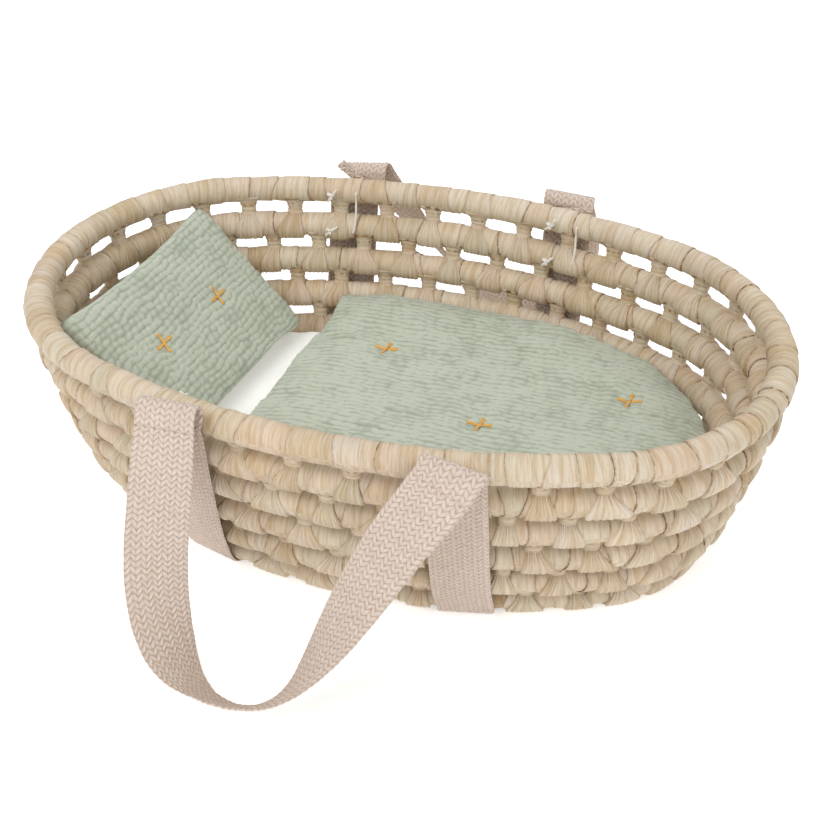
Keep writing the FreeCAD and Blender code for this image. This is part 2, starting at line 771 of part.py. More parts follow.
def place_pillow(body, lift):
    middle = Vector(size("pillow_x"), size("pillow_y"), size("pillow_z"))
    rise = pillow_rotation().multVec(UP) * value(lift)
    body.Placement = FreeCAD.Placement(middle + rise, pillow_rotation())


def build_bedding():
    cushion(("mattress_cover_top", "mattress_foam", "mattress_cover_bottom"), draw_mattress,
            "(Sheet.mattress_top - Sheet.mattress_bottom)", place_mattress)
    cushion(("quilt_top", "quilt_wadding", "quilt_backing"), draw_quilt,
            "Sheet.quilt_thickness", place_quilt, "Sheet.quilt_rounding")
    cushion(("pillow_front", "pillow_filling", "pillow_back"), draw_pillow,
            "Sheet.pillow_thickness", place_pillow, "Sheet.pillow_rounding")


def cross_stitch(turn):
    """Two threads laid across each other and raised where they cross."""
    width, height = size("thread_width"), size("thread_height")
    threads = []
    arms = [(size("cross_length"), turn), (size("cross_width"), turn + size("cross_angle"))]
    for length, angle in arms:
        corner = Vector(-length / 2, -width / 2, size("thread_gap"))
        bar = Part.makeBox(length, width, height, corner)
        bar.rotate(Vector(0, 0, 0), UP, angle)
        threads.append(bar)
    return threads[0].fuse(threads[1]).removeSplitter()


def build_embroidery():
    quilt_top = size("quilt_bottom") + size("quilt_thickness")
    quilt_crosses = []
    for x, y, turn in QUILT_CROSSES:
        cross = cross_stitch(turn)
        cross.translate(Vector(x, y, quilt_top))
        quilt_crosses.append(cross)
    new_group("quilt_embroidery", quilt_crosses)
    pillow_crosses = []
    place = FreeCAD.Placement(Vector(size("pillow_x"), size("pillow_y"), size("pillow_z")),
                              pillow_rotation())
    for along, up, turn in PILLOW_CROSSES:
        cross = cross_stitch(turn)
        cross.translate(Vector(along, up, size("pillow_thickness") / 2))
        pillow_crosses.append(cross.transformGeometry(place.toMatrix()))
    new_group("pillow_embroidery", pillow_crosses)


# ---------------------------------------------------------------------- output
def check_and_write():
    doc.recompute()
    for item in doc.Objects:
        if "Invalid" in item.State or "Error" in item.State:
            raise RuntimeError(f"{item.Label}: {item.State}")
    for part in parts:
        if part.Shape.isNull() or not part.Shape.isValid():
            raise RuntimeError(f"{part.Label}: bad shape")
    os.makedirs("parts", exist_ok=True)
    for part in parts:
        part.Shape.exportStep(f"parts/{part.Label}.step")


def main():
    ovals = build_coils()
    tie_ends = build_ties(ovals)
    ends = {"head": -size("band_offset"), "foot": size("band_offset")}
    sides = {"near": -1, "far": 1}
    stitches = {(x, side): twine_stitches(ovals, tie_ends, x, side)
                for x in ends.values() for side in sides.values()}
    for end, x in ends.items():
        build_band(ovals, f"{end}_band", x, stitches)
        for name, side in sides.items():
            build_lashing(f"{name}_{end}_lashing", stitches[x, side])
    build_handles()
    build_bedding()
    build_embroidery()
    check_and_write()


main()
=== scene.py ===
"""Doll's moses basket: husk strips, ties, webbing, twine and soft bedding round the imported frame.

Lengths are in metres, x runs from head to foot and the near side is towards -y."""
import math

import bpy
import numpy as np
from mathutils import Matrix, Vector
from mathutils.bvhtree import BVHTree


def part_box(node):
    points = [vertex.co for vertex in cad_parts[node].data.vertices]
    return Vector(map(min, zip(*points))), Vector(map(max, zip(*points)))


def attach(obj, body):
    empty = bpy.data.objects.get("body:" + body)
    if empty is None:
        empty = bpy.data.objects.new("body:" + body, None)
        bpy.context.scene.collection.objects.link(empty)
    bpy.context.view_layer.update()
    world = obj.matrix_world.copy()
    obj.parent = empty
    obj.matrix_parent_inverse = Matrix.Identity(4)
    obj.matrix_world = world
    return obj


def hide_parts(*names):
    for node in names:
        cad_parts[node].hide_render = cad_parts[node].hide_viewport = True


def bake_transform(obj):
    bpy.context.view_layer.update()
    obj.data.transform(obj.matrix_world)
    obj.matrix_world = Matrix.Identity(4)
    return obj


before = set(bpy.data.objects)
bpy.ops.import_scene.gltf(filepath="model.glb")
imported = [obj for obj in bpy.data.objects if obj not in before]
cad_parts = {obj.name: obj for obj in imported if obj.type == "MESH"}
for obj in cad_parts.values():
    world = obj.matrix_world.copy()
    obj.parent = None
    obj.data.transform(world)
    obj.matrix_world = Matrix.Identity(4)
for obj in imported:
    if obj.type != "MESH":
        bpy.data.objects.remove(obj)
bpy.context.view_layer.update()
MM = 0.001
UP = np.array([0.0, 0.0, 1.0])

# coils: the filling and its strips, and the rounding of the ovals at rim and floor
CORE_RADIUS = 0.0073
HUSK_RADIUS = 0.0086
RIM_END_RADIUS = 0.126
FLOOR_END_RADIUS = 0.085
FLOOR_HALF_WIDTH = 0.113
RIM_HALF_WIDTH = 0.146
WALL_ROWS = ["rim", "row_2", "row_3", "row_4", "row_5", "row_6"]
BASE_RINGS = ["base_ring_1", "base_ring_2", "base_ring_3", "base_ring_4"]
# husk strips, and how brown their edges are
STRIP_WIDTHS = [0.011, 0.015, 0.019, 0.024, 0.029]
EDGE_BROWN = [0.25, 0.6, 1.0]
EDGE_BROWN_ODDS = [0.35, 0.35, 0.3]
# ties round each wall row, and how far those of the base lean on from row to row
WALL_TIE_COUNT = 36
BASE_TIE_LEAN = 0.35
# webbing: its section, and how far its middle lies from the coil centres
WEB_WIDTH = 0.035
WEB_THICKNESS = 0.0016
WEB_EDGE = 0.0012
WEAVE_RELIEF = 0.0006
WEB_REACH = 0.01085
# bands: where the CAD bands cross, where the visible ones do and where they end
BAND_OFFSET = 0.081
BAND_X = {"head": -0.0795, "foot": 0.0766}
BAND_TOP = 0.143
# how far the foot of each near band stands off to the side
NEAR_BAND_LEAN = {"head": -0.008, "foot": 0.0}
# handles: the hinge line, how far the fold's bending reaches from it, and the loop that hangs from it
FOLD_RADIUS = 0.005
HINGE_REACH = 0.1555
HINGE_HEIGHT = 0.1505
HANDLE_HALF_SPAN = 0.0793
HANDLE_LOW_POINT = 0.0145
HANDLE_LOW_REACH = 0.2293
HANDLE_SHIFT = 0.027
HANDLE_BELLY = 0.0046
HANDLE_SQUARENESS = 0.743
HANDLE_TURN_POWER = 1.787
HANDLE_LOW_TILT = math.radians(49.6)
HANDLE_SAG = {"head": 0.0065, "foot": 0.0085}
# how each fold sits on the hinge line: shift along it, rise and turn in degrees
FOLDS = {("near", "head"): (-0.001, 0.0034, 0.5), ("near", "foot"): (0.001, -0.0014, -11),
         ("far", "head"): (0.0035, -0.0008, 8), ("far", "foot"): (-0.002, -0.0018, -3)}
# how soon a band straightens under the base, and how softly a handle leaves its fold
BAND_EASE = 0.045
FOLD_MARGIN = 0.004
FOLD_RELEASE = 0.020
# brown stitch: its height as a share of one row, and half its length
STITCH_HEIGHT = 0.55
STITCH_REACH = 0.0038
# herringbone weave: width of one V, rows of yarn along the webbing, and how steep the V is
CHEVRON_WIDTH = 0.00575
CHEVRON_PITCH = 0.00365
CHEVRON_LEAN = 0.8
# twine and embroidery thread
TWIST_PITCH = 0.0032
STRAND_RADIUS = 0.00036
# bedding: ovals and heights from the CAD, and each cross's x, y and turn in degrees
MATTRESS = {"half_length": 0.195, "half_width": 0.105, "end_radius": 0.078}
MATTRESS_Z = (0.0216, 0.0500)
STUFFING_PRESSURE = 4.0
STUFFING_FRAMES = 20
CLOTH_GAP = 0.0013
QUILT = {"half_length": 0.206, "half_width": 0.1165, "end_radius": 0.092}
QUILT_HEAD = (-0.095, -0.080)
QUILT_Z = (0.0508, 0.0706)
QUILT_CROSSES = [(-0.025, 0.049, 3), (0.059, -0.015, 4), (0.147, 0.038, 4)]
PILLOW_SIZE = (0.176, 0.118, 0.020)
PILLOW_CORNER = 0.009
PILLOW_CENTRE = Vector((-0.1505, 0.001, 0.0965))
PILLOW_TILT = math.radians(45)
PILLOW_YAW = math.radians(-5.9)
PILLOW_CROSSES = [(-0.036, 0.003, 2), (0.031, 0.001, 0)]
# studio: each light's place, size and power
LIGHTS = {"key": ((-0.7, -1.5, 2.4), 1.9, 44), "fill": ((1.8, -1.0, 1.5), 1.8, 13),
          "back": ((0.3, 1.9, 1.9), 1.8, 17)}
SKY = 0.44
FLOOR_SIZE = 14
FLOOR_DROP = 0.0004
FLOOR_GLOW = 0.30
FLOOR_GLOW_SEEN = 0.15
# camera
CAMERA_PLACE = Vector((0.1986, -0.6116, 0.5532))
CAMERA_FORWARD = Vector((-0.2349, 0.7564, -0.6105))
CAMERA_UP = Vector((-0.1828, 0.5825, 0.7920))
CAMERA_LENS_MM = 53.0
CAMERA_SENSOR_MM = 36.0


# ------------------------------------------------------------------ small tools
def smooth(t):
    """Eased step from 0 at 0 to 1 at 1."""
    t = np.clip(t, 0.0, 1.0)
    return t * t * (3 - 2 * t)


def unit(vectors):
    """Vectors scaled to length one."""
    return vectors / np.linalg.norm(vectors, axis=-1, keepdims=True)


LATTICE = 64
lattices = {}


def noise(x, y, seed):
    """Smooth value noise from -1 to 1 with cells one unit wide."""
    if seed not in lattices:
        lattices[seed] = np.random.RandomState(seed).rand(LATTICE, LATTICE) * 2 - 1
    grid = lattices[seed]
    column, line = np.floor(x).astype(int), np.floor(y).astype(int)
    fx, fy = smooth(x - column), smooth(y - line)
    a, b = column % LATTICE, (column + 1) % LATTICE
    c, d = line % LATTICE, (line + 1) % LATTICE
    low = grid[a, c] * (1 - fx) + grid[b, c] * fx
    high = grid[a, d] * (1 - fx) + grid[b, d] * fx
    return low * (1 - fy) + high * fy


def quads(rows, columns, closed):
    """Faces of a grid of vertices; closed joins the last column to the first."""
    row = np.arange(rows - 1)[:, None]
    column = np.arange(columns if closed else columns - 1)[None, :]
    after = (column + 1) % columns
    corners = [row * columns + column, row * columns + after,
               (row + 1) * columns + after, (row + 1) * columns + column]
    return np.stack(corners, -1).reshape(-1, 4)


class Piece:
    """Grids of vertices gathered into one mesh, each vertex with a fibre place, a tone and a mark."""

    def __init__(self):
        self.points = []
        self.faces = []
        self.places = []
        self.tones = []
        self.marks = []
        self.count = 0

    def add(self, points, places, tone, mark=0.0, closed=False, flip=False):
        """points is rows x columns x 3 and places rows x columns x 2, in millimetres."""
        rows, columns = points.shape[:2]
        faces = quads(rows, columns, closed) + self.count
        self.faces.append(faces[:, ::-1] if flip else faces)
        self.points.append(points.reshape(-1, 3))
        self.places.append(places.reshape(-1, 2))
        self.tones.append(np.broadcast_to(tone, (rows, columns)).ravel())
        self.marks.append(np.broadcast_to(mark, (rows, columns)).ravel())
        self.count += rows * columns

    def build(self, name, material):
        faces = np.concatenate(self.faces).astype(np.int32)
        points = np.concatenate(self.points).astype(np.float32)
        mesh = bpy.data.meshes.new(name)
        mesh.vertices.add(len(points))
        mesh.vertices.foreach_set("co", points.ravel())
        mesh.loops.add(faces.size)
        mesh.loops.foreach_set("vertex_index", faces.ravel())
        mesh.polygons.add(len(faces))
        mesh.polygons.foreach_set("loop_start", np.arange(0, faces.size, 4, dtype=np.int32))
        mesh.update(calc_edges=True)
        layer = mesh.uv_layers.new(name="fibre")
        places = np.concatenate(self.places).astype(np.float32)
        layer.data.foreach_set("uv", places[faces.ravel()].ravel())
        for label, values in (("tone", self.tones), ("mark", self.marks)):
            attribute = mesh.attributes.new(label, "FLOAT", "POINT")
            attribute.data.foreach_set("value", np.concatenate(values).astype(np.float32))
        mesh.shade_smooth()
        mesh.materials.append(material)
        piece = bpy.data.objects.new(name, mesh)
        bpy.context.scene.collection.objects.link(piece)
        return piece


# -------------------------------------------------------------------- materials
class Shader:
    """A node material with a Principled surface, built from short calls."""

    def __init__(self, name):
        self.material = bpy.data.materials.new(name)
        self.material.use_nodes = True
        self.tree = self.material.node_tree
        self.surface = self.tree.nodes["Principled BSDF"]

    def node(self, kind, **settings):
        made = self.tree.nodes.new(f"ShaderNode{kind}")
        for key, setting in settings.items():
            setattr(made, key, setting)
        return made

    def link(self, source, target):
        if isinstance(source, (int, float, tuple)):
            target.default_value = source
        else:
            self.tree.links.new(source, target)

    def attribute(self, name):
        return self.node("Attribute", attribute_name=name).outputs["Fac"]

    def math(self, operation, a, b=0.0):
        made = self.node("Math", operation=operation)
        self.link(a, made.inputs[0])
        self.link(b, made.inputs[1])
        return made.outputs[0]

    def times(self, a, b):
        return self.math("MULTIPLY", a, b)

    def plus(self, a, b):
        return self.math("ADD", a, b)

    def vector(self, x, y, z=0.0):
        made = self.node("CombineXYZ")
        for source, target in zip((x, y, z), made.inputs):
            self.link(source, target)
        return made.outputs[0]

    def fibre(self):
        """The two fibre coordinates, in millimetres: across and along."""
        place = self.node("UVMap", uv_map="fibre").outputs[0]
        parts = self.node("SeparateXYZ")
        self.link(place, parts.inputs[0])
        return parts.outputs[0], parts.outputs[1]

    def here(self):
        return self.node("TexCoord").outputs["Object"]

    def noise(self, place, scale=1.0, detail=3.0, roughness=0.55):
        made = self.node("TexNoise")
        self.link(place, made.inputs["Vector"])
        made.inputs["Scale"].default_value = scale
        made.inputs["Detail"].default_value = detail
        made.inputs["Roughness"].default_value = roughness
        return made.outputs["Fac"]

    def streaks(self, per_across, per_along, detail=3.0, roughness=0.55, shift=0.0):
        """Noise stretched over the fibre coordinates, from its cells per millimetre each way."""
        across, along = self.fibre()
        place = self.vector(self.times(across, per_across), self.times(along, per_along), shift)
        return self.noise(place, 1.0, detail, roughness)

    def ramp(self, source, stops):
        made = self.node("ValToRGB")
        elements = made.color_ramp.elements
        while len(elements) < len(stops):
            elements.new(0.5)
        for element, (position, colour) in zip(elements, stops):
            element.position = position
            element.color = (*colour, 1)
        self.link(source, made.inputs[0])
        return made.outputs["Color"]

    def mix(self, share, a, b, blend="MIX"):
        made = self.node("Mix", data_type="RGBA", blend_type=blend)
        self.link(share, made.inputs[0])
        for colour, target in ((a, made.inputs[6]), (b, made.inputs[7])):
            self.link((*colour, 1.0) if isinstance(colour, tuple) else colour, target)
        return made.outputs[2]

    def shade(self, colour, share, source, *stops):
        """Colour multiplied, by a share, with a ramp over a source."""
        return self.mix(share, colour, self.ramp(source, stops), "MULTIPLY")

    def finish(self, colour, roughness, height, strength, distance, sheen=0.0, specular=0.3):
        """Connect colour, roughness and a bump to the surface, and return the material."""
        made = self.node("Bump")
        made.inputs["Strength"].default_value = strength
        made.inputs["Distance"].default_value = distance
        self.link(height, made.inputs["Height"])
        self.link(colour, self.surface.inputs["Base Color"])
        self.link(roughness, self.surface.inputs["Roughness"])
        self.link(made.outputs[0], self.surface.inputs["Normal"])
        self.surface.inputs["Sheen Weight"].default_value = sheen
        self.surface.inputs["Specular IOR Level"].default_value = specular
        return self.material


def linear(red, green, blue):
    """Linear colour from 0-255 display values."""
    def one(value):
        value /= 255
        return value / 12.92 if value < 0.04045 else ((value + 0.055) / 1.055) ** 2.4
    return (one(red), one(green), one(blue))


WHITE = (1.0, 1.0, 1.0)


def husk_material(name, tones):
    """Dried husk: fine fibres along the strip, cloudy tone, thin brown edges and specks, and painted shade in
    the grooves of the ties.
    """
    shader = Shader(name)
    tone = shader.attribute("tone")
    shift = shader.times(tone, 37.0)
    fine = shader.streaks(2.6, 0.05, 4.0, 0.7, shift)
    broad = shader.streaks(0.36, 0.035, 3.0, 0.65, shift)
    cloud = shader.streaks(0.09, 0.07, 2.0, shift=shift)
    speck = shader.streaks(0.5, 0.35, 2.0, shift=shift)
    colour = shader.ramp(tone, tones)
    colour = shader.shade(colour, 0.70, fine, (0.30, (0.62, 0.52, 0.40)), (0.52, WHITE))
    colour = shader.shade(colour, 0.75, broad, (0.36, (0.78, 0.68, 0.53)), (0.56, WHITE))
    colour = shader.shade(colour, 0.6, cloud, (0.35, (1.0, 0.93, 0.80)), (0.65, (0.98, 1.0, 1.0)))
    broken = shader.ramp(speck, [(0.36, (0.25, 0.25, 0.25)), (0.58, WHITE)])
    # the mark gives real brown edges and specks, and also painted shade in the tie grooves
    brown_and_shade = shader.times(shader.attribute("mark"), broken)
    colour = shader.mix(brown_and_shade, colour, linear(124, 82, 42))
    height = shader.plus(shader.times(fine, 0.7), shader.times(broad, 0.35))
    rough = shader.plus(0.50, shader.times(broad, 0.22))
    return shader.finish(colour, rough, height, 0.6, 0.0006, 0.05, 0.35)


def cloth_material(name, valley_shade, crest, thread_pitch=0.62, painted_glow=0.0):
    """Woven cotton with a fine plain weave; its valleys are painted darker, as shade, and it may glow a
    little as painted light.
    """
    shader = Shader(name)
    across, along = shader.fibre()
    turn = 2 * math.pi / thread_pitch
    weave = shader.times(shader.math("SINE", shader.times(across, turn)),
                         shader.math("SINE", shader.times(along, turn)))
    cloud = shader.noise(shader.here(), 55.0)
    slub = shader.streaks(0.22, 1.5, 3.0, 0.6)
    grain = shader.streaks(0.9, 1.1, 4.0, 0.7)
    # painted shade: a low mark, in creases and hollows, takes the darker valley colour
    colour = shader.ramp(shader.attribute("mark"), [(0.0, valley_shade), (0.55, crest)])
    colour = shader.shade(colour, 0.7, cloud, (0.35, (0.95, 0.95, 0.93)), (0.65, WHITE))
    colour = shader.shade(colour, 0.75, slub, (0.35, (0.90, 0.91, 0.90)), (0.6, WHITE))
    colour = shader.shade(colour, 0.8, grain, (0.34, (0.88, 0.90, 0.87)), (0.6, WHITE))
    height = shader.plus(shader.times(weave, 0.25), shader.plus(slub, shader.times(grain, 1.2)))
    rough = shader.plus(0.78, shader.times(cloud, 0.15))
    # painted light: the cloth glows as an emitter, though it is no lamp
    if painted_glow:
        shader.link(colour, shader.surface.inputs["Emission Color"])
        shader.surface.inputs["Emission Strength"].default_value = painted_glow
    return shader.finish(colour, rough, height, 0.5, 0.0005, 0.25, 0.15)


def webbing_material(name, groove, crest):
    """Chunky herringbone: slanting yarns in columns that mirror their neighbours, with painted shade in the
    grooves between them.
    """
    shader = Shader(name)
    across, along = shader.fibre()
    drift = shader.streaks(0.25, 0.12, 2.0)
    column = shader.math("DIVIDE", across, CHEVRON_WIDTH / 2 / MM)
    inside = shader.math("FRACT", column)
    odd = shader.math("MODULO", shader.math("FLOOR", column), 2.0)
    direction = shader.math("SUBTRACT", 1.0, shader.times(odd, 2.0))
    lean = shader.times(shader.math("SUBTRACT", inside, 0.5), direction)
    phase = shader.plus(shader.math("DIVIDE", along, CHEVRON_PITCH / MM), shader.times(lean, CHEVRON_LEAN))
    phase = shader.plus(phase, shader.times(drift, 0.9))
    stitch = shader.noise(shader.vector(column, phase), 1.4, 1.0)
    yarn = shader.math("ABSOLUTE", shader.math("COSINE", shader.times(phase, math.pi)))
    ridge = shader.math("SINE", shader.times(inside, math.pi))
    depth = shader.times(shader.math("POWER", yarn, 0.7), shader.plus(0.35, shader.times(ridge, 0.65)))
    fuzzy = shader.noise(shader.here(), 2200.0, 3.0, 0.7)
    cloud = shader.noise(shader.here(), 90.0, 2.0)
    # painted shade: the grooves of the weave take the darker first colour
    colour = shader.ramp(depth, [(0.05, groove), (0.60, crest)])
    colour = shader.shade(colour, 0.7, fuzzy, (0.3, (0.86, 0.84, 0.82)), (0.62, WHITE))
    colour = shader.shade(colour, 0.8, cloud, (0.3, (0.95, 0.93, 0.92)), (0.7, WHITE))
    colour = shader.shade(colour, 0.8, stitch, (0.32, (0.89, 0.86, 0.85)), (0.60, WHITE))
    height = shader.plus(depth, shader.times(fuzzy, 0.25))
    rough = shader.plus(0.75, shader.times(cloud, 0.2))
    return shader.finish(colour, rough, height, 0.8, 0.0006, 0.2, 0.15)


def yarn_material(name, groove, crest, fuzz=2200.0, sheen=0.2):
    """Spun yarn: grooves painted darker as shade against lighter crests, and a fine fuzz."""
    shader = Shader(name)
    fuzzy = shader.noise(shader.here(), fuzz, 3.0, 0.7)
    cloud = shader.noise(shader.here(), 90.0, 2.0)
    # painted shade: the grooves between twists take the darker first colour
    colour = shader.ramp(shader.attribute("mark"), [(0.0, groove), (0.75, crest)])
    colour = shader.shade(colour, 0.7, fuzzy, (0.3, (0.86, 0.83, 0.80)), (0.62, WHITE))
    colour = shader.shade(colour, 0.8, cloud, (0.3, (0.95, 0.92, 0.90)), (0.7, WHITE))
    rough = shader.plus(0.72, shader.times(cloud, 0.2))
    return shader.finish(colour, rough, fuzzy, 0.4, 0.0003, sheen, 0.2)


def plain_material(name, dark, light, scale):
    """Filling that is seen only inside: fibrous noise in two tones."""
    shader = Shader(name)
    grain = shader.noise(shader.here(), scale, 4.0, 0.65)
    colour = shader.ramp(grain, [(0.3, dark), (0.7, light)])
    rough = shader.plus(0.7, shader.times(grain, 0.2))
    return shader.finish(colour, rough, grain, 0.5, 0.0005, 0.1, 0.2)


HUSK_TONES = [(0.00, linear(217, 203, 187)), (0.22, linear(226, 214, 197)),
              (0.42, linear(211, 194, 169)), (0.56, linear(221, 204, 185)),
              (0.70, linear(209, 198, 177)), (0.84, linear(224, 212, 193)),
              (1.00, linear(199, 177, 144))]
husk_strip = husk_material("husk_strip", HUSK_TONES)
husk_tie = husk_material("husk_tie", HUSK_TONES)
husk_filling = plain_material("husk_filling", linear(150, 125, 88), linear(205, 182, 142), 900.0)
# the first webbing colour is painted shade for the weave's grooves
webbing = webbing_material("cotton_webbing", linear(190, 169, 154), linear(229, 214, 201))
# each yarn's first colour is painted shade for its grooves
twine = yarn_material("cotton_twine", linear(205, 196, 180), linear(248, 245, 238))
gold = yarn_material("gold_thread", linear(190, 134, 56), linear(238, 188, 104), 2600.0, 0.1)
brown_thread = yarn_material("brown_thread", linear(104, 74, 52), linear(150, 112, 84))
# each cloth's first colour is painted shade for its creases
sage = cloth_material("sage_muslin", linear(153, 164, 144), linear(204, 209, 193))
# painted light: the white cotton glows at 0.32 to look brighter
cotton = cloth_material("white_cotton", linear(240, 237, 236), linear(250, 248, 248), 0.5, 0.32)


# ------------------------------------------------------------------ plan ovals
class Oval:
    """Four-arc oval of one coil's centreline, read by distance along it."""

    def __init__(self, half_length, half_width, end_radius, height=0.0):
        self.half_width = half_width
        reach = half_length - end_radius
        side = (reach ** 2 + half_width ** 2 - end_radius ** 2) / (2 * (half_width - end_radius))
        join = math.atan2(side - half_width, reach)
        self.side_radius = side
        self.height = height
        self.centres = np.array([[reach, 0, height], [0, half_width - side, height],
                                 [-reach, 0, height], [0, side - half_width, height]])
        self.radii = np.array([end_radius, side, end_radius, side])
        self.first = np.array([-join, join, math.pi - join, math.pi + join])
        self.last = np.array([join, math.pi - join, math.pi + join, 2 * math.pi - join])
        lengths = self.radii * (self.last - self.first)
        self.ends = np.cumsum(lengths)
        self.starts = self.ends - lengths
        self.length = float(self.ends[-1])

    def at(self, distance):
        """Centre, tangent and outward direction at distances along the coil."""
        distance = np.mod(distance, self.length)
        arc = np.minimum(np.searchsorted(self.ends, distance, side="right"), 3)
        angle = self.first[arc] + (distance - self.starts[arc]) / self.radii[arc]
        zero = np.zeros_like(angle)
        outward = np.stack([np.cos(angle), np.sin(angle), zero], -1)
        tangent = np.stack([-np.sin(angle), np.cos(angle), zero], -1)
        return self.centres[arc] + outward * self.radii[arc][..., None], tangent, outward

    def nearest(self, points):
        """For each x, y point: how far it is outside the coil's line, which way is out, and where along."""
        away = np.full(len(points), 1e9)
        way = np.zeros((len(points), 2))
        along = np.zeros(len(points))
        for centre, radius, first, last, start in zip(
                self.centres, self.radii, self.first, self.last, self.starts):
            offset = points - centre[:2]
            reach = np.linalg.norm(offset, axis=1)
            angle = first + np.mod(np.arctan2(offset[:, 1], offset[:, 0]) - first, 2 * math.pi)
            better = (angle <= last) & (np.abs(reach - radius) < np.abs(away))
            away = np.where(better, reach - radius, away)
            way = np.where(better[:, None], offset / np.maximum(reach, 1e-9)[:, None], way)
            along = np.where(better, start + radius * (angle - first), along)
        return away, way, along

    def side_point(self, x, side):
        """Centre and outward direction of the far (+1) or near (-1) side at one x."""
        angle = math.asin(x / self.side_radius)
        outward = np.array([math.sin(angle), side * math.cos(angle), 0.0])
        centre = np.array([0.0, -side * (self.side_radius - self.half_width), self.height])
        return centre + outward * self.side_radius, outward


class Bar:
    """Straight coil in the middle of the base."""

    def __init__(self, half_length, height):
        self.half_length, self.height = half_length, height
        self.length = 2 * half_length

    def at(self, distance):
        zero = np.zeros_like(distance)
        centre = np.stack([distance - self.half_length, zero, zero + self.height], -1)
        tangent = np.stack([zero + 1, zero, zero], -1)
        return centre, tangent, np.stack([zero, zero - 1, zero], -1)


def coil_oval(name):
    """The oval of one coil, measured on its CAD node."""
    low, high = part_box(f"{name}_core")
    half_length = (high.x - low.x) / 2 - CORE_RADIUS
    half_width = (high.y - low.y) / 2 - CORE_RADIUS
    if name in WALL_ROWS:
        rise = (RIM_END_RADIUS - FLOOR_END_RADIUS) / (RIM_HALF_WIDTH - FLOOR_HALF_WIDTH)
        end_radius = FLOOR_END_RADIUS + (half_width - FLOOR_HALF_WIDTH) * rise
    else:
        end_radius = FLOOR_END_RADIUS * half_width / FLOOR_HALF_WIDTH
    return Oval(half_length, half_width, end_radius, (low.z + high.z) / 2)


ovals = {name: coil_oval(name) for name in WALL_ROWS + BASE_RINGS}


# ----------------------------------------------------------------- husk strips
def coil_lump(distance, seed):
    """Slow swelling and thinning of a coil's filling."""
    return 0.00030 * noise(distance / 0.021, distance * 0 + 3.3, seed) \
        + 0.00018 * noise(distance / 0.008, distance * 0 + 9.1, seed + 1)


def wrap_coil(name, path, seed, closed=True):
    """Husk strips wound round a coil; each strip's raised edge lies over its neighbour."""
    random = np.random.RandomState(seed)
    piece = Piece()
    widths = []
    while sum(widths) < path.length:
        widths.append(random.choice(STRIP_WIDTHS) * random.uniform(0.85, 1.15))
    widths = np.array(widths) * path.length / sum(widths)
    edges = np.concatenate([[0], np.cumsum(widths)])
    count = len(widths)
    slant = random.uniform(0.0006, 0.0026, count + 1) * random.choice([-1, 1], count + 1, p=[0.3, 0.7])
    curl = random.uniform(-0.0012, 0.0012, count + 1)
    phase = random.uniform(-0.5, 0.5, count + 1)
    if closed:
        slant[-1], curl[-1], phase[-1] = slant[0], curl[0], phase[0]
    angle = np.linspace(0, 2 * math.pi, 30, endpoint=False)[None, :]

    def edge(index):
        return slant[index] * np.sin(angle + phase[index]) + curl[index] * np.cos(2 * angle)

    for number in range(count):
        steps = max(6, int(math.ceil(widths[number] / 0.0011)))
        u = np.concatenate([[0.0, 0.0], np.linspace(0.03, 1.0, steps)])[:, None]
        start = edges[number] + edge(number) - 0.0002
        stop = edges[number + 1] + edge(number + 1) + 0.0010
        s = start * (1 - u) + stop * u
        if not closed:
            s = np.clip(s, 0.0, path.length)
        centre, _, outward = path.at(s)
        puff = np.sin(math.pi * np.clip(u, 0, 1)) ** 0.7
        radius = HUSK_RADIUS + coil_lump(s, seed) + 0.00045 * puff + 0.00085 * (1 - u) ** 2 - 0.00036
        across = s / MM + 0.9 * np.sin(angle + phase[number])
        crease = noise(across / 3.4 + number * 7.7, angle * 0.6, seed + 2)
        crease = np.clip(0.45 - np.abs(crease), 0, 1) ** 2 * random.choice([0.0004, 0.0009, 0.0022])
        fine = noise(across / 1.1 + number * 3.1, angle * 0.9, seed + 3) * 0.00004
        radius = radius - crease + fine
        radius[0] -= 0.0009
        radial = outward * np.cos(angle)[..., None] + UP * np.sin(angle)[..., None]
        points = centre + radial * radius[..., None]
        places = spread(across, angle * HUSK_RADIUS / MM, random)
        gone = (s - start) / MM
        strength = random.choice(EDGE_BROWN, p=EDGE_BROWN_ODDS)
        line = np.exp(-np.maximum(gone, 0) / 0.6) * strength
        piece.add(points, places, random.uniform(0, 1) ** 1.1, line, closed=True)
    return piece.build(name, husk_strip)


# ------------------------------------------------------------------------ ties
def tie_places(upper, lower, shares):
    """Distances on both coils of each tie and, sorted, the shares where they land."""
    places = []
    for share in shares:
        distance = share * upper.length
        centre = upper.at(np.array(distance))[0]
        places.append((distance, float(lower.nearest(centre[None, :2])[2][0])))
    return places, sorted(landing / lower.length for _, landing in places)


def between(shares, lean, keep=1):
    """Shares set on by a part of each gap; keep takes every one, or every second one."""
    spans = zip(shares, shares[1:] + [shares[0] + 1])
    return [(low + lean * (high - low)) % 1.0 for low, high in spans][::keep]


def spread(across, along, random):
    """Fibre places of a grid of husk, in millimetres, moved to a spot of its own in the fibre noise."""
    offset = random.uniform(0, 900, 2)
    return np.stack(np.broadcast_arrays(across + offset[0], along + offset[1]), -1)


def lay(coil, distance, away, radius):
    """Points round a coil, at angles measured from straight up towards the coil's outside."""
    centre, _, outward = coil.at(distance)
    radial = UP * np.cos(away)[..., None] + outward * np.sin(away)[..., None]
    return centre + radial * radius[..., None]


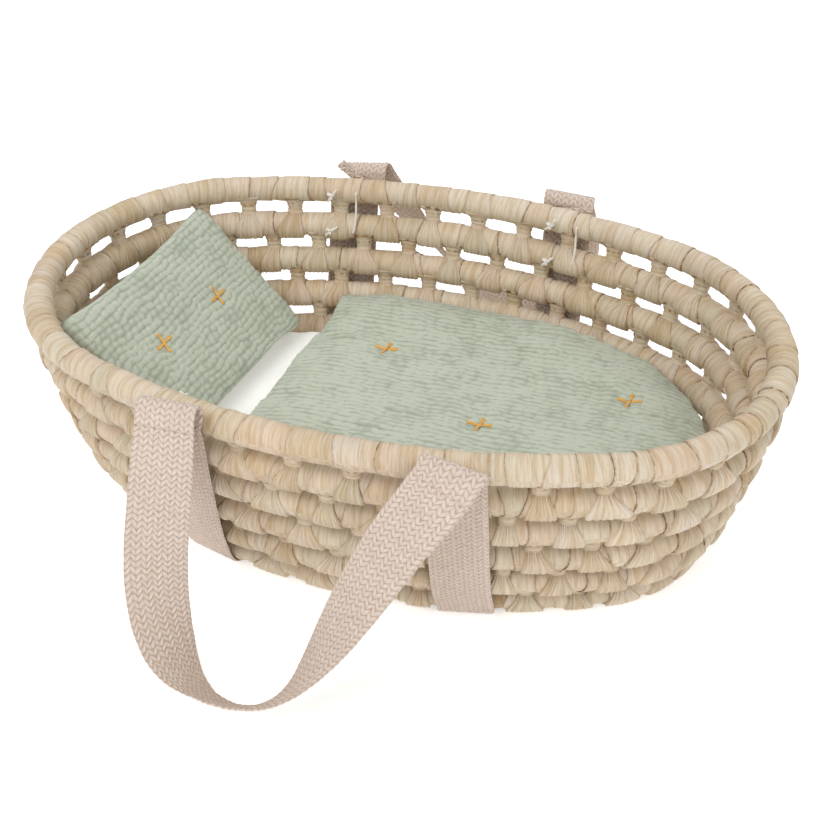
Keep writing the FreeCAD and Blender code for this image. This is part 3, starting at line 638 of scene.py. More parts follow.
def neck(piece, top, bottom, along, down, out, size, random):
    """Husk bundle between two coils, pinched in the middle and bound by level turns."""
    v = np.linspace(0, 1, 17)[:, None]
    angle = np.linspace(0, 2 * math.pi, 26, endpoint=False)[None, :]
    middle = 4 * v * (1 - v)
    half_width = size * (0.0043 + 0.0040 * (1 - v) ** 2.5 + 0.0022 * v ** 3)
    half_depth = size * (0.0036 + 0.0024 * (1 - v) ** 2 + 0.0010 * v ** 2)
    tilt = random.uniform(-0.25, 0.25)
    turns = np.cos(2 * math.pi * (4.2 * v + tilt * np.cos(angle)) + random.uniform(0, 6))
    swell = 1 + 0.05 * turns * np.sqrt(np.clip(middle, 0, 1))
    cosine = np.sign(np.cos(angle)) * np.abs(np.cos(angle)) ** 0.8
    sine = np.sign(np.sin(angle)) * np.abs(np.sin(angle)) ** 0.8
    start = top + down * (HUSK_RADIUS - 0.0022)
    stop = bottom - down * (HUSK_RADIUS - 0.0022)
    points = start * (1 - v)[..., None] + stop * v[..., None] \
        + along * (half_width * cosine * swell)[..., None] + out * (half_depth * sine * swell)[..., None]
    gap = np.linalg.norm(stop - start) / MM
    places = spread(v * gap + 1.2 * tilt * np.cos(angle), angle * 5, random)
    # painted shade: the mark darkens the grooves between the binding turns
    mark = 0.22 * np.clip(-turns, 0, 1) ** 4
    specks = np.clip(np.cos(angle * 9 + random.uniform(0, 6)) + 0.3, 0, 1)
    brink = np.exp(-((v - random.uniform(0.26, 0.34)) / 0.06) ** 2) * random.choice([0.5, 1.0, 1.4])
    mark = np.clip(mark + specks * brink, 0, 1)
    piece.add(points, places, random.uniform(0.1, 1.0), mark, closed=True, flip=True)


def under_webbing(point, side):
    """How flat the webbing presses a tie: 1 away from a band, less beneath it."""
    away = abs(abs(point[0]) - BAND_OFFSET) - WEB_WIDTH / 2
    if side < 0 or abs(point[1]) < 0.06 and point[2] > 0.03:
        return 1.0
    return 0.55 + 0.45 * float(smooth((away - 0.004) / 0.008))


def fan(piece, lower, landing, down_tilt, side, size, random):
    """Pleated husk that spreads from the neck over one face of the lower coil."""
    alpha = np.radians(np.linspace(-30, 172, 36))[:, None]
    grow = smooth((alpha - 0.12) / 1.75)
    left, right = random.uniform(0.0074, 0.0130, 2) * size
    lean = random.uniform(-0.0030, 0.0030)
    press = under_webbing(lower.at(np.array(landing))[0], side)
    k = np.linspace(-1, 1, 33)[None, :]
    reach = np.where(k < 0, left, right)
    half = 0.0043 * size + (reach - 0.0043 * size) * grow
    x = k * half + lean * grow
    pleats = random.uniform(2.8, 4.2)
    ridge = np.abs(np.cos(math.pi * (k * pleats + random.uniform(0, 1)
                                     + 0.25 * noise(k * 3, alpha * 0.4, 77))))
    groove = ridge ** 4 * smooth((alpha + 0.1) / 0.5)
    level = np.cos(alpha * 13 + 1.5 * k) * (1 - smooth((alpha - 0.1) / 0.5))
    skirt = smooth((alpha - 1.3) / 1.0)
    height = 0.00150 - (0.00100 - 0.00050 * grow) * groove + 0.00018 * level \
        + 0.00080 * (1 - k ** 2) * (1 - 0.6 * grow) + 0.00070 * skirt
    height = height + 0.00010 * noise(k * 9 + landing * 100, alpha * 1.5, 78)
    radius = HUSK_RADIUS + height * press
    radius[:, 0] = HUSK_RADIUS - 0.0006
    radius[:, -1] = HUSK_RADIUS - 0.0006
    radius[-1, :] = HUSK_RADIUS - 0.0006
    radius[0, :] = HUSK_RADIUS - 0.0012
    points = lay(lower, landing + x, alpha * side + down_tilt, radius)
    places = spread(k * 9 * size, alpha * 9, random)
    rim = np.exp(-(1 - np.abs(k)) * half / MM / 0.5)
    strength = random.choice(EDGE_BROWN, 2, p=EDGE_BROWN_ODDS)
    mark = rim * np.where(k < 0, strength[0], strength[1])
    # painted shade: the mark darkens the pleat grooves
    mark = np.maximum(mark, 0.34 * groove ** 2 * (1 - 0.6 * grow))
    piece.add(points, places, random.uniform(0, 0.95), mark, flip=side > 0)


def flare(piece, upper, distance, tilt, side, size, random):
    """Short gathered husk that runs from the neck up over the lower edge of the upper coil."""
    alpha = np.radians(np.linspace(-26, 58, 14))[:, None]
    grow = np.clip((alpha + 0.45) / 1.46, 0, 1)
    k = np.linspace(-1, 1, 19)[None, :]
    half = size * (0.0062 + 0.0034 * grow ** 1.3)
    x = k * half
    lip = 0.9 - 0.35 * k ** 2
    press = under_webbing(upper.at(np.array(distance))[0], side)
    height = 0.00125 * (1 - 0.6 * smooth(grow / lip)) + 0.00018 * np.cos(alpha * 14 + k * 2)
    radius = HUSK_RADIUS + height * press
    radius[:, 0] = radius[:, -1] = HUSK_RADIUS - 0.0006
    radius[-1, :] = HUSK_RADIUS - 0.0008
    radius[0, :] = HUSK_RADIUS - 0.0012
    away = math.pi - (alpha + 0.16 * k ** 2 * grow) * side + tilt
    points = lay(upper, distance + x, away, radius)
    places = spread(alpha * 8, k * 6, random)
    dots = smooth(np.cos(k * 8 + random.uniform(0, 6)) + 0.4)
    speck = smooth((grow - 0.42) / 0.14) * dots
    mark = np.clip(speck * random.choice([0.0, 0.8, 1.6], p=[0.3, 0.35, 0.35]), 0, 1)
    piece.add(points, places, random.uniform(0.1, 1.0), mark, flip=side < 0)


def tie_piece(name, pairs, size, seed):
    """All the ties between listed coil pairs: (upper, lower, [(distance, landing)])."""
    random = np.random.RandomState(seed)
    piece = Piece()
    for upper, lower, places in pairs:
        for distance, landing in places:
            top, tangent, _ = upper.at(np.array(distance))
            bottom, along, outward = lower.at(np.array(landing))
            span = bottom - top
            span = span - along * np.dot(span, along)
            down = span / np.linalg.norm(span)
            out = np.cross(down, along)
            tilt = math.atan2(-np.dot(down, outward), -down[2])
            neck(piece, top, bottom, along, down, out, size, random)
            for side in (-1, 1):
                fan(piece, lower, landing, tilt, side, size, random)
                flare(piece, upper, distance, tilt, side, size, random)
    return piece.build(name, husk_tie)


def build_husk():
    """Every coil's strips and every tie, each standing for its CAD node."""
    seeds = {name: 100 + 10 * number for number, name in enumerate(ovals)}
    for name, oval in ovals.items():
        piece = wrap_coil(f"{name}_strips", oval, seeds[name])
        settle(piece, "basket", "husk_strip", f"{name}_wrap")
    low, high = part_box("base_bar_core")
    bar = Bar((high.x - low.x) / 2, (low.z + high.z) / 2)
    settle(wrap_coil("base_bar_strips", bar, 300, closed=False), "basket", "husk_strip", "base_bar_wrap")
    shares = [number / WALL_TIE_COUNT for number in range(WALL_TIE_COUNT)]
    for upper, lower in zip(WALL_ROWS, WALL_ROWS[1:]):
        places, landed = tie_places(ovals[upper], ovals[lower], shares)
        pairs = [(ovals[upper], ovals[lower], places)]
        node = f"ties_{upper}_to_{lower}"
        piece = tie_piece(f"{node}_husk", pairs, 1.0, 400 + seeds[upper])
        settle(piece, "basket", "husk_tie", node)
        shares = between(landed, 0.5)
    rings = [WALL_ROWS[-1]] + BASE_RINGS
    pairs = []
    for number, (outer, inner) in enumerate(zip(rings, rings[1:])):
        places, landed = tie_places(ovals[outer], ovals[inner], shares)
        pairs.append((ovals[outer], ovals[inner], places))
        shares = between(landed, BASE_TIE_LEAN, keep=2 if number == 0 else 1)
    settle(tie_piece("base_ties_husk", pairs, 0.62, 900), "basket", "husk_tie", "base_ties")
    settle(bar_ties(), "basket", "husk_tie", "base_bar_ties")


def settle(piece, body, slot, *nodes):
    """Put a finished piece on its body and let it stand for its CAD nodes."""
    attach(piece, body)
    if nodes:
        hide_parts(*nodes)


def bar_ties():
    """Ties from the innermost ring across to the straight bar, round both."""
    ring = ovals[BASE_RINGS[-1]]
    low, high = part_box("base_bar_core")
    random = np.random.RandomState(950)
    piece = Piece()
    half_bar = (high.x - low.x) / 2
    for loop_low, loop_high in node_boxes("base_bar_ties"):
        x = (loop_low[0] + loop_high[0]) / 2
        side = 1 if (loop_low[1] + loop_high[1]) > 0 else -1
        if abs(x) > half_bar:
            continue
        centre, _ = ring.side_point(x, side)
        start = np.array([x, centre[1], ring.height])
        stop = np.array([x, 0.0, ring.height])
        wrap_loop(piece, start, stop, np.array([1.0, 0, 0]), random)
    return piece.build("base_bar_ties_husk", husk_tie)


def wrap_loop(piece, start, stop, along, random):
    """One narrow husk loop round two coils, its face gently pleated."""
    towards = unit(stop - start)
    aside = np.cross(along, towards)
    radius = HUSK_RADIUS + 0.0007
    turn = np.linspace(-math.pi / 2, math.pi / 2, 14)
    first = [start - towards * math.cos(a) * radius + aside * math.sin(a) * radius for a in turn]
    second = [stop + towards * math.cos(a) * radius - aside * math.sin(a) * radius for a in turn]
    line = np.array(first + second)
    normal = unit(np.array([p - start for p in first] + [p - stop for p in second]))
    k = np.linspace(-1, 1, 13)[None, :]
    width = 0.0030 * (1 + 0.08 * np.sin(np.arange(len(line)) * 1.1))[:, None]
    height = 0.00018 * np.cos(k * 9) * np.ones((len(line), 1))
    height[:, 0] = height[:, -1] = -0.0008
    points = line[:, None] + along * (k * width)[..., None] + normal[:, None] * height[..., None]
    places = spread(k * 3, np.arange(len(line) + 1)[:, None] * 1.9, random)
    points = np.concatenate([points, points[:1]])
    piece.add(points, places, random.uniform(0, 1), 0.25 * np.abs(k) ** 8)


def node_boxes(node):
    """Lowest and highest corner of each separate solid of a CAD node."""
    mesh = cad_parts[node].data
    owner = list(range(len(mesh.vertices)))

    def root(index):
        while owner[index] != index:
            owner[index] = owner[owner[index]]
            index = owner[index]
        return index

    for edge in mesh.edges:
        a, b = (root(index) for index in edge.vertices)
        owner[a] = b
    groups = {}
    for index, vertex in enumerate(mesh.vertices):
        groups.setdefault(root(index), []).append(tuple(vertex.co))
    boxes = [(np.min(group, axis=0), np.max(group, axis=0)) for group in map(np.array, groups.values())]
    merged = []
    for low, high in sorted(boxes, key=lambda box: tuple(box[0])):
        for other in merged:
            if np.all(low <= other[1] + 1e-5) and np.all(high >= other[0] - 1e-5):
                other[0][:] = np.minimum(other[0], low)
                other[1][:] = np.maximum(other[1], high)
                break
        else:
            merged.append((low.copy(), high.copy()))
    return merged


# --------------------------------------------------------------------- webbing
def weave(x, y):
    """Height of the herringbone webbing, 0 in a groove and 1 on a yarn; x across, y along."""
    half = CHEVRON_WIDTH / 2
    column = np.floor(x / half)
    inside = x / half - column
    direction = np.where(column.astype(int) % 2 == 0, 1.0, -1.0)
    phase = y / CHEVRON_PITCH + direction * (inside - 0.5) * CHEVRON_LEAN
    yarn = np.abs(np.cos(math.pi * phase)) ** 0.8
    ridge = np.sin(math.pi * np.clip(inside, 0, 1)) ** 0.55
    return yarn * (0.35 + 0.65 * ridge)


def spline(points, step):
    """Even samples of a smooth curve through the points, and where they fall among the points."""
    points = np.asarray(points, dtype=float)
    gaps = np.maximum(np.linalg.norm(np.diff(points, axis=0), axis=1), 1e-9)
    slopes = np.diff(points, axis=0) / gaps[:, None]
    before, after = gaps[:-1, None], gaps[1:, None]
    inner = (slopes[:-1] * after + slopes[1:] * before) / (before + after)
    tangents = np.concatenate([slopes[:1], inner, slopes[-1:]])
    t = np.linspace(0, 1, 40, endpoint=False)[None, :, None]
    span = gaps[:, None, None]
    samples = (1 + 2 * t) * (1 - t) ** 2 * points[:-1, None] + t * (1 - t) ** 2 * tangents[:-1, None] * span \
        + t * t * (3 - 2 * t) * points[1:, None] + t * t * (t - 1) * tangents[1:, None] * span
    samples = np.concatenate([samples.reshape(-1, 3), points[-1:]])
    parameter = np.append((np.arange(len(gaps))[:, None] + t[0, :, 0]).ravel(), float(len(gaps)))
    gone = np.concatenate([[0], np.cumsum(np.linalg.norm(np.diff(samples, axis=0), axis=1))])
    even = np.linspace(0, gone[-1], max(4, int(gone[-1] / step)))
    track = np.stack([np.interp(even, gone, samples[:, axis]) for axis in range(3)], -1)
    return track, np.interp(even, gone, parameter), even


def lay_on_fold(fold, gone, across):
    """Places and normals of webbing wound straight over a fold whose axis is turned in its plane."""
    middle, along, upward, inward, turn, leave = fold
    round_it = gone * math.cos(turn) - across * math.sin(turn)
    axial = gone * math.sin(turn) + across * math.cos(turn)
    angle = np.clip(round_it / FOLD_RADIUS, 0, leave)
    beyond = (round_it - angle * FOLD_RADIUS)[..., None]
    cosine, sine = np.cos(angle)[..., None], np.sin(angle)[..., None]
    normal = inward * cosine + upward * sine
    onward = upward * cosine - inward * sine
    return middle + normal * FOLD_RADIUS + onward * beyond + along * axial[..., None], normal


def webbing_piece(name, stations, step=0.00065, seed=5, folds=()):
    """Thick herringbone ribbon through (centre, width direction, outer normal) stations.

    Each fold is (its first station, the way it runs, its width direction's sign and its shape)."""
    centres = np.array([station[0] for station in stations])
    across = np.array([station[1] for station in stations])
    normals = np.array([station[2] for station in stations])
    track, where, gone = spline(centres, step)
    index = np.arange(len(centres))
    wide = unit(np.stack([np.interp(where, index, across[:, a]) for a in range(3)], -1))
    tangent = unit(np.gradient(track, axis=0))
    wide = unit(wide - tangent * np.sum(wide * tangent, -1, keepdims=True))
    normal = np.cross(tangent, wide)
    hint = np.stack([np.interp(where, index, normals[:, a]) for a in range(3)], -1)
    flip = np.sign(np.sum(normal * hint, -1, keepdims=True))
    normal = normal * flip
    columns = 97
    x = np.linspace(-WEB_WIDTH / 2, WEB_WIDTH / 2, columns)
    y = gone[:, None]
    edge_drift = 0.00035 * noise(gone / 0.009, gone * 0 + seed, 63)[:, None]
    spot = x[None, :] * (1 + edge_drift * 25)
    middle = track[:, None] + wide[:, None] * spot[..., None]
    upright = np.broadcast_to(normal[:, None], middle.shape)
    for first, way, shape in folds:
        run = way * (gone - np.interp(first, where, gone))
        start = int(np.argmin(np.abs(run)))
        sign = np.sign(np.dot(wide[start], shape[1]))
        length = FOLD_RADIUS * shape[5] / math.cos(shape[4])
        placed, facing = lay_on_fold(shape, run[:, None] + 0 * spot, spot * sign)
        share = smooth((run + FOLD_MARGIN) / FOLD_MARGIN)
        share = (share * smooth((length + FOLD_RELEASE - run) / FOLD_RELEASE))[:, None, None]
        middle = middle * (1 - share) + placed * share
        upright = unit(upright * (1 - share) + facing * share)
    border = 1 - smooth((np.abs(x) - (WEB_WIDTH / 2 - WEB_EDGE)) / WEB_EDGE)[None, :]
    lift = WEB_THICKNESS / 2 - 0.00045 + WEAVE_RELIEF * weave(x[None, :] + WEB_WIDTH, y)
    lift = upright * (lift * (0.35 + 0.65 * border))[..., None]
    points = np.concatenate([middle + lift, (middle - lift)[:, ::-1]], axis=1)
    lateral = (np.concatenate([x, x[::-1]]) + WEB_WIDTH)[None, :] / MM
    places = np.stack(np.broadcast_arrays(lateral, y / MM), -1)
    piece = Piece()
    rows = points.shape[0]
    turned = np.dot(np.cross(wide[rows // 2], normal[rows // 2]), tangent[rows // 2]) > 0
    piece.add(points, places, 0.5, closed=True, flip=not turned)
    for row, low in ((0, True), (rows - 1, False)):
        cap = np.stack([points[row, :columns], points[row, columns:][::-1]])
        piece.add(cap, np.stack([places[row, :columns]] * 2), 0.5, flip=low == turned)
    return piece.build(name, webbing)


def band_stations(x, side, lean_out=0.0):
    """Stations of one wall run of a band, from under the base to its top; its foot may lean along x."""
    shares = np.linspace(1, 0, len(WALL_ROWS))
    rows = [ovals[name].side_point(x + lean_out * share, side)
            for name, share in zip(reversed(WALL_ROWS), shares)]
    slopes = []
    for (low, outward), (high, _) in zip(rows, rows[1:]):
        rise = high - low
        slopes.append(math.atan2(np.dot(rise, outward), rise[2]))
    lean = [slopes[0]] + [(a + b) / 2 for a, b in zip(slopes, slopes[1:])] + [slopes[-1]]
    bends = 6
    under = [math.pi / 2 - (math.pi / 2 - lean[0]) * step / bends for step in range(bends)]
    stations = []
    for (centre, outward), angle in zip(rows[:1] * bends + rows, under + lean):
        normal = outward * math.cos(angle) - UP * math.sin(angle)
        stations.append((centre + normal * WEB_REACH, np.cross(outward, UP), normal))
    centre, across, normal = stations[-1]
    rising = np.cross(across, normal)
    rising = rising if rising[2] > 0 else -rising
    climb = (BAND_TOP - centre[2]) / rising[2]
    stations.append((centre + rising * climb, across, normal))
    return stations


LOW_Y = HINGE_REACH - HANDLE_LOW_REACH
LOW_Z = HANDLE_LOW_POINT - HINGE_HEIGHT
FOLD_EXIT = math.atan2(LOW_Z, LOW_Y + 2 * HANDLE_BELLY) + 1.5 * math.pi


def handle_point(angle):
    """Middle of the hanging strap about its hinge line, 0 at the head fold and pi at the foot fold."""
    cosine, drop = math.cos(angle), math.sin(angle) ** 2
    sideways = math.copysign(abs(cosine) ** HANDLE_SQUARENESS, cosine)
    start_y = FOLD_RADIUS * math.cos(FOLD_EXIT)
    start_z = FOLD_RADIUS * math.sin(FOLD_EXIT)
    belly = HANDLE_BELLY * math.sin(2 * math.asin(min(1.0, drop)))
    return np.array([-HANDLE_HALF_SPAN * sideways - HANDLE_SHIFT * drop,
                     start_y + (LOW_Y - start_y) * drop + belly,
                     start_z + (LOW_Z - start_z) * drop])


def fold_shape(label, end):
    """Middle, axis, upward and inward directions, turn and last angle of one fold."""
    shift, rise, turn = FOLDS[label, end]
    turn = math.radians(turn)
    side = -1.0 if label == "near" else 1.0
    sense = -1 if end == "head" else 1
    middle = np.array([sense * HANDLE_HALF_SPAN + shift, side * HINGE_REACH, HINGE_HEIGHT + rise])
    along = np.array([math.cos(turn), 0.0, math.sin(turn)])
    upward = np.array([-math.sin(turn), 0.0, math.cos(turn)])
    return middle, along, upward, np.array([0.0, -side, 0.0]), turn, FOLD_EXIT


def fold_stations(shape):
    """Stations along the middle of the webbing over one fold."""
    steps = np.linspace(0, 1, 8, endpoint=False) * FOLD_RADIUS * shape[5] / math.cos(shape[4])
    centres, normals = lay_on_fold(shape, steps, 0 * steps)
    return [(centre, np.array([1.0, 0, 0]), normal) for centre, normal in zip(centres, normals)]


def strap_stations(label, side):
    """Stations of the hanging strap from head to foot; the far one is the near one turned half round."""
    along = np.array([1.0, 0.0, 0.0])
    hinge = np.array([0.0, -HINGE_REACH, HINGE_HEIGHT])
    mirror = np.array([-side, -side, 1.0])
    low_across = np.array([0.0, -math.cos(HANDLE_LOW_TILT), math.sin(HANDLE_LOW_TILT)])
    strap = []
    for angle in np.linspace(0.07, 0.93, 29) * math.pi:
        tangent = unit(handle_point(angle + 0.001) - handle_point(angle - 0.001))
        level = abs(angle - math.pi / 2) / (math.pi / 2)
        turn = math.pi / 2 * (1 - level) ** HANDLE_TURN_POWER
        end = "head" if angle < math.pi / 2 else "foot"
        fold = end if label == "near" else {"head": "foot", "foot": "head"}[end]
        sense = -1 if end == "head" else 1
        across = along * (sense * math.cos(turn)) + low_across * math.sin(turn)
        across = unit(across - tangent * np.dot(across, tangent))
        drop = math.sin(angle) ** 2
        shift, rise, lean = FOLDS[label, fold]
        shift, lean = -side * shift, -side * lean
        wound = FOLD_RADIUS * math.pi * math.tan(math.radians(lean))
        fade = 1 - float(smooth(drop / 0.5))
        sag = HANDLE_SAG[end] * 4 * drop * (1 - drop)
        sag *= 1.6 * drop if end == "head" else 0.3 + 0.7 * float(smooth(drop / 0.3))
        offset = np.array([(shift + wound) * fade - sag, 0.0, rise * fade])
        centre = hinge + handle_point(angle) + offset
        strap.append((centre * mirror, across * mirror, np.cross(across, tangent) * mirror))
    return strap if label == "near" else strap[::-1]


def build_handle(label, side):
    """One handle, from the head band's top over both folds to the foot band's top."""
    head_band = band_stations(BAND_X["head"], side)[-1]
    foot_band = band_stations(BAND_X["foot"], side)[-1]
    head, foot = fold_shape(label, "head"), fold_shape(label, "foot")
    stations = [head_band] + fold_stations(head) + strap_stations(label, side) \
        + fold_stations(foot)[::-1] + [foot_band]
    folds = [(1, 1, head), (len(stations) - 2, -1, foot)]
    piece = webbing_piece(f"{label}_handle_webbing", align(stations), seed=9, folds=folds)
    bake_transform(piece)
    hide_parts(f"{label}_handle")


def align(stations):
    """Keep the width direction and the normal from flipping between neighbours."""
    _, across, normal = stations[0]
    aligned = []
    for centre, next_across, next_normal in stations:
        if np.dot(next_across, across) < 0:
            next_across = -next_across
        if np.dot(next_normal, normal) < 0:
            next_normal = -next_normal
        across, normal = next_across, next_normal
        aligned.append((centre, across, normal))
    return aligned


def build_band(end):
    """One band, from its near top down the wall, under the base and up to its far top."""
    x = BAND_X[end]
    near = [(centre, -across, normal)
            for centre, across, normal in band_stations(x, -1, NEAR_BAND_LEAN[end])]
    far = band_stations(x, 1)
    under = []
    outward = ovals["row_6"].side_point(x, -1)[1]
    slope = outward[0] / abs(outward[1])
    length = far[0][0][1] - near[0][0][1]
    for share in np.linspace(0, 1, 24)[1:-1]:
        centre = near[0][0] * (1 - share) + far[0][0] * share
        gone = min(min(share, 1 - share) * length, BAND_EASE)
        centre[0] -= slope * (gone - gone ** 2 / (2 * BAND_EASE))
        under.append((centre, np.array([1.0, 0.0, 0.0]), -UP))
    piece = webbing_piece(f"{end}_band_webbing", align(near[::-1] + under + far))
    settle(piece, "basket", "cotton_webbing", f"{end}_band")


# ----------------------------------------------------------------------- twine
def cord(piece, points, radius):
    """Twisted cord through a few points."""
    track, _, gone = spline(points, 0.00035)
    tangent = unit(np.gradient(track, axis=0))
    guide = np.array([0.31, 0.87, 0.38])
    side = unit(np.cross(tangent, guide))
    other = np.cross(tangent, side)
    angle = np.linspace(0, 2 * math.pi, 14, endpoint=False)[None, :]
    twist = gone[:, None] / TWIST_PITCH * 2 * math.pi
    lobe = np.abs(np.cos(angle - twist)) ** 0.6
    taper = smooth(gone / 0.0006)[:, None] * smooth((gone[-1] - gone) / 0.0006)[:, None]
    r = radius * (0.72 + 0.36 * lobe) * (0.25 + 0.75 * taper)
    points = track[:, None] + side[:, None] * (np.cos(angle) * r)[..., None] \
        + other[:, None] * (np.sin(angle) * r)[..., None]
    places = np.stack(np.broadcast_arrays(angle * radius, gone[:, None]), -1) / MM
    # painted shade: the lobe darkens the grooves between the strands
    piece.add(points, places, 0.5, lobe, closed=True, flip=True)


def on_coil(name, x, side, angle, lift=0.0):
    """Point on a coil's surface; angle 0 faces inwards and 90 up."""
    centre, outward = ovals[name].side_point(x, side)
    angle = math.radians(angle)
    radial = UP * math.sin(angle) - outward * math.cos(angle)
    return centre + radial * (HUSK_RADIUS + 0.0009 + lift)


def build_lashings():
    """Each band's twine: an upright stitch over both coils and a knot on each coil's inner face."""
    for end, x in (("head", -BAND_OFFSET), ("foot", BAND_OFFSET)):
        for label, side in (("near", -1), ("far", 1)):
            random = np.random.RandomState(700 + int(x / MM) + side)
            piece = Piece()
            node = f"{label}_{end}_lashing"
            places = sorted({round(float((low[0] + high[0]) / 2), 4) for low, high in node_boxes(node)})
            left, right = places[0], places[-1]
            stitch = [on_coil("rim", right, side, 20, -0.003), on_coil("rim", right, side, 14),
                      on_coil("rim", right, side, -20), on_coil("row_2", right, side, 28),
                      on_coil("row_2", right - 0.0012, side, -6),
                      on_coil("row_2", right - 0.0015, side, -14, -0.003)]
            cord(piece, stitch, 0.00075)
            for name in ("rim", "row_2"):
                knot(piece, name, left, side, random)
            settle(piece.build(f"{node}_twine", twine), "basket", "cotton_twine", node)


def knot(piece, name, x, side, random):
    """Small overhand knot with two short tails on a coil's inner face."""
    middle = on_coil(name, x, side, 2, 0.0010)
    centre, outward = ovals[name].side_point(x, side)
    along = np.cross(outward, UP)
    t = np.linspace(0, 2 * math.pi, 15)
    loop = middle[None] + along * (0.0016 * (np.sin(t) + 0.6 * np.sin(2 * t)))[:, None] \
        + UP * (0.0015 * (np.cos(t) - 0.6 * np.cos(2 * t)))[:, None] \
        - outward * (0.0010 * np.sin(3 * t))[:, None]
    cord(piece, loop, 0.00095)
    for turn, length in ((random.uniform(20, 60), 0.0068), (random.uniform(-150, -110), 0.0058)):
        angle = math.radians(turn)
        rise = math.sin(angle) if side > 0 else -abs(math.sin(angle))
        way = along * math.cos(angle) + UP * rise
        tail = [middle, middle + way * length * 0.5 - outward * 0.0010, middle + way * length]
        cord(piece, tail, 0.00078)


# --------------------------------------------------------------------- bedding
def pad_object(name, outline, low, high):
    """Closed pad: an outline given height."""
    count = len(outline)
    points = [(x, y, low) for x, y in outline] + [(x, y, high) for x, y in outline]
    faces = [tuple(range(count - 1, -1, -1)), tuple(range(count, 2 * count))]
    faces += [(n, (n + 1) % count, (n + 1) % count + count, n + count) for n in range(count)]
    mesh = bpy.data.meshes.new(name)
    mesh.from_pydata(points, [], faces)
    pad = bpy.data.objects.new(name, mesh)
    bpy.context.scene.collection.objects.link(pad)
    return pad


def coordinates(mesh):
    """A mesh's vertices as an array."""
    flat = np.zeros(len(mesh.vertices) * 3, np.float32)
    mesh.vertices.foreach_get("co", flat)
    return flat.reshape(-1, 3).astype(float)


def set_coordinates(mesh, points):
    mesh.vertices.foreach_set("co", points.astype(np.float32).ravel())
    mesh.update()


def bake(pad):
    """Replace a pad's mesh by what its modifiers make of it."""
    graph = bpy.context.evaluated_depsgraph_get()
    made = bpy.data.meshes.new_from_object(pad.evaluated_get(graph))
    pad.modifiers.clear()
    pad.data = made


def stuff(pad, voxel, cap, levels):
    """Even mesh, a short inflation by cloth pressure with its movement capped, then subdivision."""
    remesh = pad.modifiers.new("even", "REMESH")
    remesh.mode = "VOXEL"
    remesh.voxel_size = voxel
    bake(pad)
    rest = coordinates(pad.data)
    cloth = pad.modifiers.new("inflate", "CLOTH")
    cloth.settings.quality = 5
    cloth.settings.mass = 0.3
    cloth.settings.use_pressure = True
    cloth.settings.uniform_pressure_force = STUFFING_PRESSURE
    cloth.settings.effector_weights.gravity = 0
    cloth.settings.tension_stiffness = 25
    cloth.settings.compression_stiffness = 25
    cloth.settings.bending_stiffness = 0.4
    scene = bpy.context.scene
    for number in range(1, STUFFING_FRAMES + 1):
        scene.frame_set(number)
    bake(pad)
    scene.frame_set(1)
    moved = coordinates(pad.data) - rest
    length = np.linalg.norm(moved, axis=1, keepdims=True)
    moved *= np.minimum(1, cap / np.maximum(length, 1e-9))
    set_coordinates(pad.data, rest + moved)
    finer = pad.modifiers.new("finer", "SUBSURF")
    finer.levels = levels
    bake(pad)
    return pad


def vertex_normals(mesh):
    flat = np.zeros(len(mesh.vertices) * 3, np.float32)
    mesh.vertex_normals.foreach_get("vector", flat)
    return flat.reshape(-1, 3).astype(float)


def clear_of_coils(points):
    """Push points out of the wall's coils, so that cloth rests against them."""
    limit = HUSK_RADIUS + CLOTH_GAP
    for name in WALL_ROWS:
        away, outward, _ = ovals[name].nearest(points[:, :2])
        rise = points[:, 2] - ovals[name].height
        inward = np.minimum(away, -0.0005)
        distance = np.hypot(inward, rise)
        push = np.maximum(limit / np.maximum(distance, 1e-6), 1.0)
        inside = distance < limit
        points[:, :2] += outward * (inward * push - away)[:, None] * inside[:, None]
        points[:, 2] += np.where(inside, rise * (push - 1), 0)
    return points


def dress(pad, material, places, mark):
    """Give a pad its material, its thread coordinates in millimetres and its crease depth, which the cloth
    paints as shade.
    """
    mesh = pad.data
    layer = mesh.uv_layers.new(name="fibre")
    loops = np.zeros(len(mesh.loops), np.int32)
    mesh.loops.foreach_get("vertex_index", loops)
    layer.data.foreach_set("uv", places[loops].astype(np.float32).ravel())
    attribute = mesh.attributes.new("mark", "FLOAT", "POINT")
    attribute.data.foreach_set("value", mark.astype(np.float32))
    mesh.materials.clear()
    mesh.materials.append(material)
    mesh.shade_smooth()


def waffle(u, v, seed, long_cell, short_cell, gather):
    """Puffs of crinkled gauze, 0 in a crease and 1 on a puff; u and v in millimetres."""
    wu = u + 2.6 * noise(u / 15, v / 6, seed) + 1.2 * noise(u / 5, v / 4, seed + 1)
    wv = v + 1.7 * noise(u / 17, v / 11, seed + 2) + 1.1 * noise(u / 5.5, v / 7, seed + 3)
    line = np.floor(wv / short_cell)
    shift = long_cell * 0.5 * noise(line * 3.7, line * 0.0 + 0.5, seed + 4)
    a = np.abs(np.sin(math.pi * wv / short_cell)) ** 0.6
    b = np.abs(np.sin(math.pi * (wu + shift) / long_cell)) ** 0.5
    swell = 0.78 + 0.30 * noise(u / 11, v / 9, seed + 5) + 0.20 * noise(u / 3.1, v / 2.3, seed + 6)
    return a * (1 - gather + gather * b) * swell


def oval_outline(measures, inset):
    """Plan points of a pad's oval, drawn in by an inset."""
    oval = Oval(measures["half_length"] - inset, measures["half_width"] - inset,
                measures["end_radius"] - inset)
    points = oval.at(np.linspace(0, oval.length, 160, endpoint=False))[0]
    return [(float(x), float(y)) for x, y, _ in points]


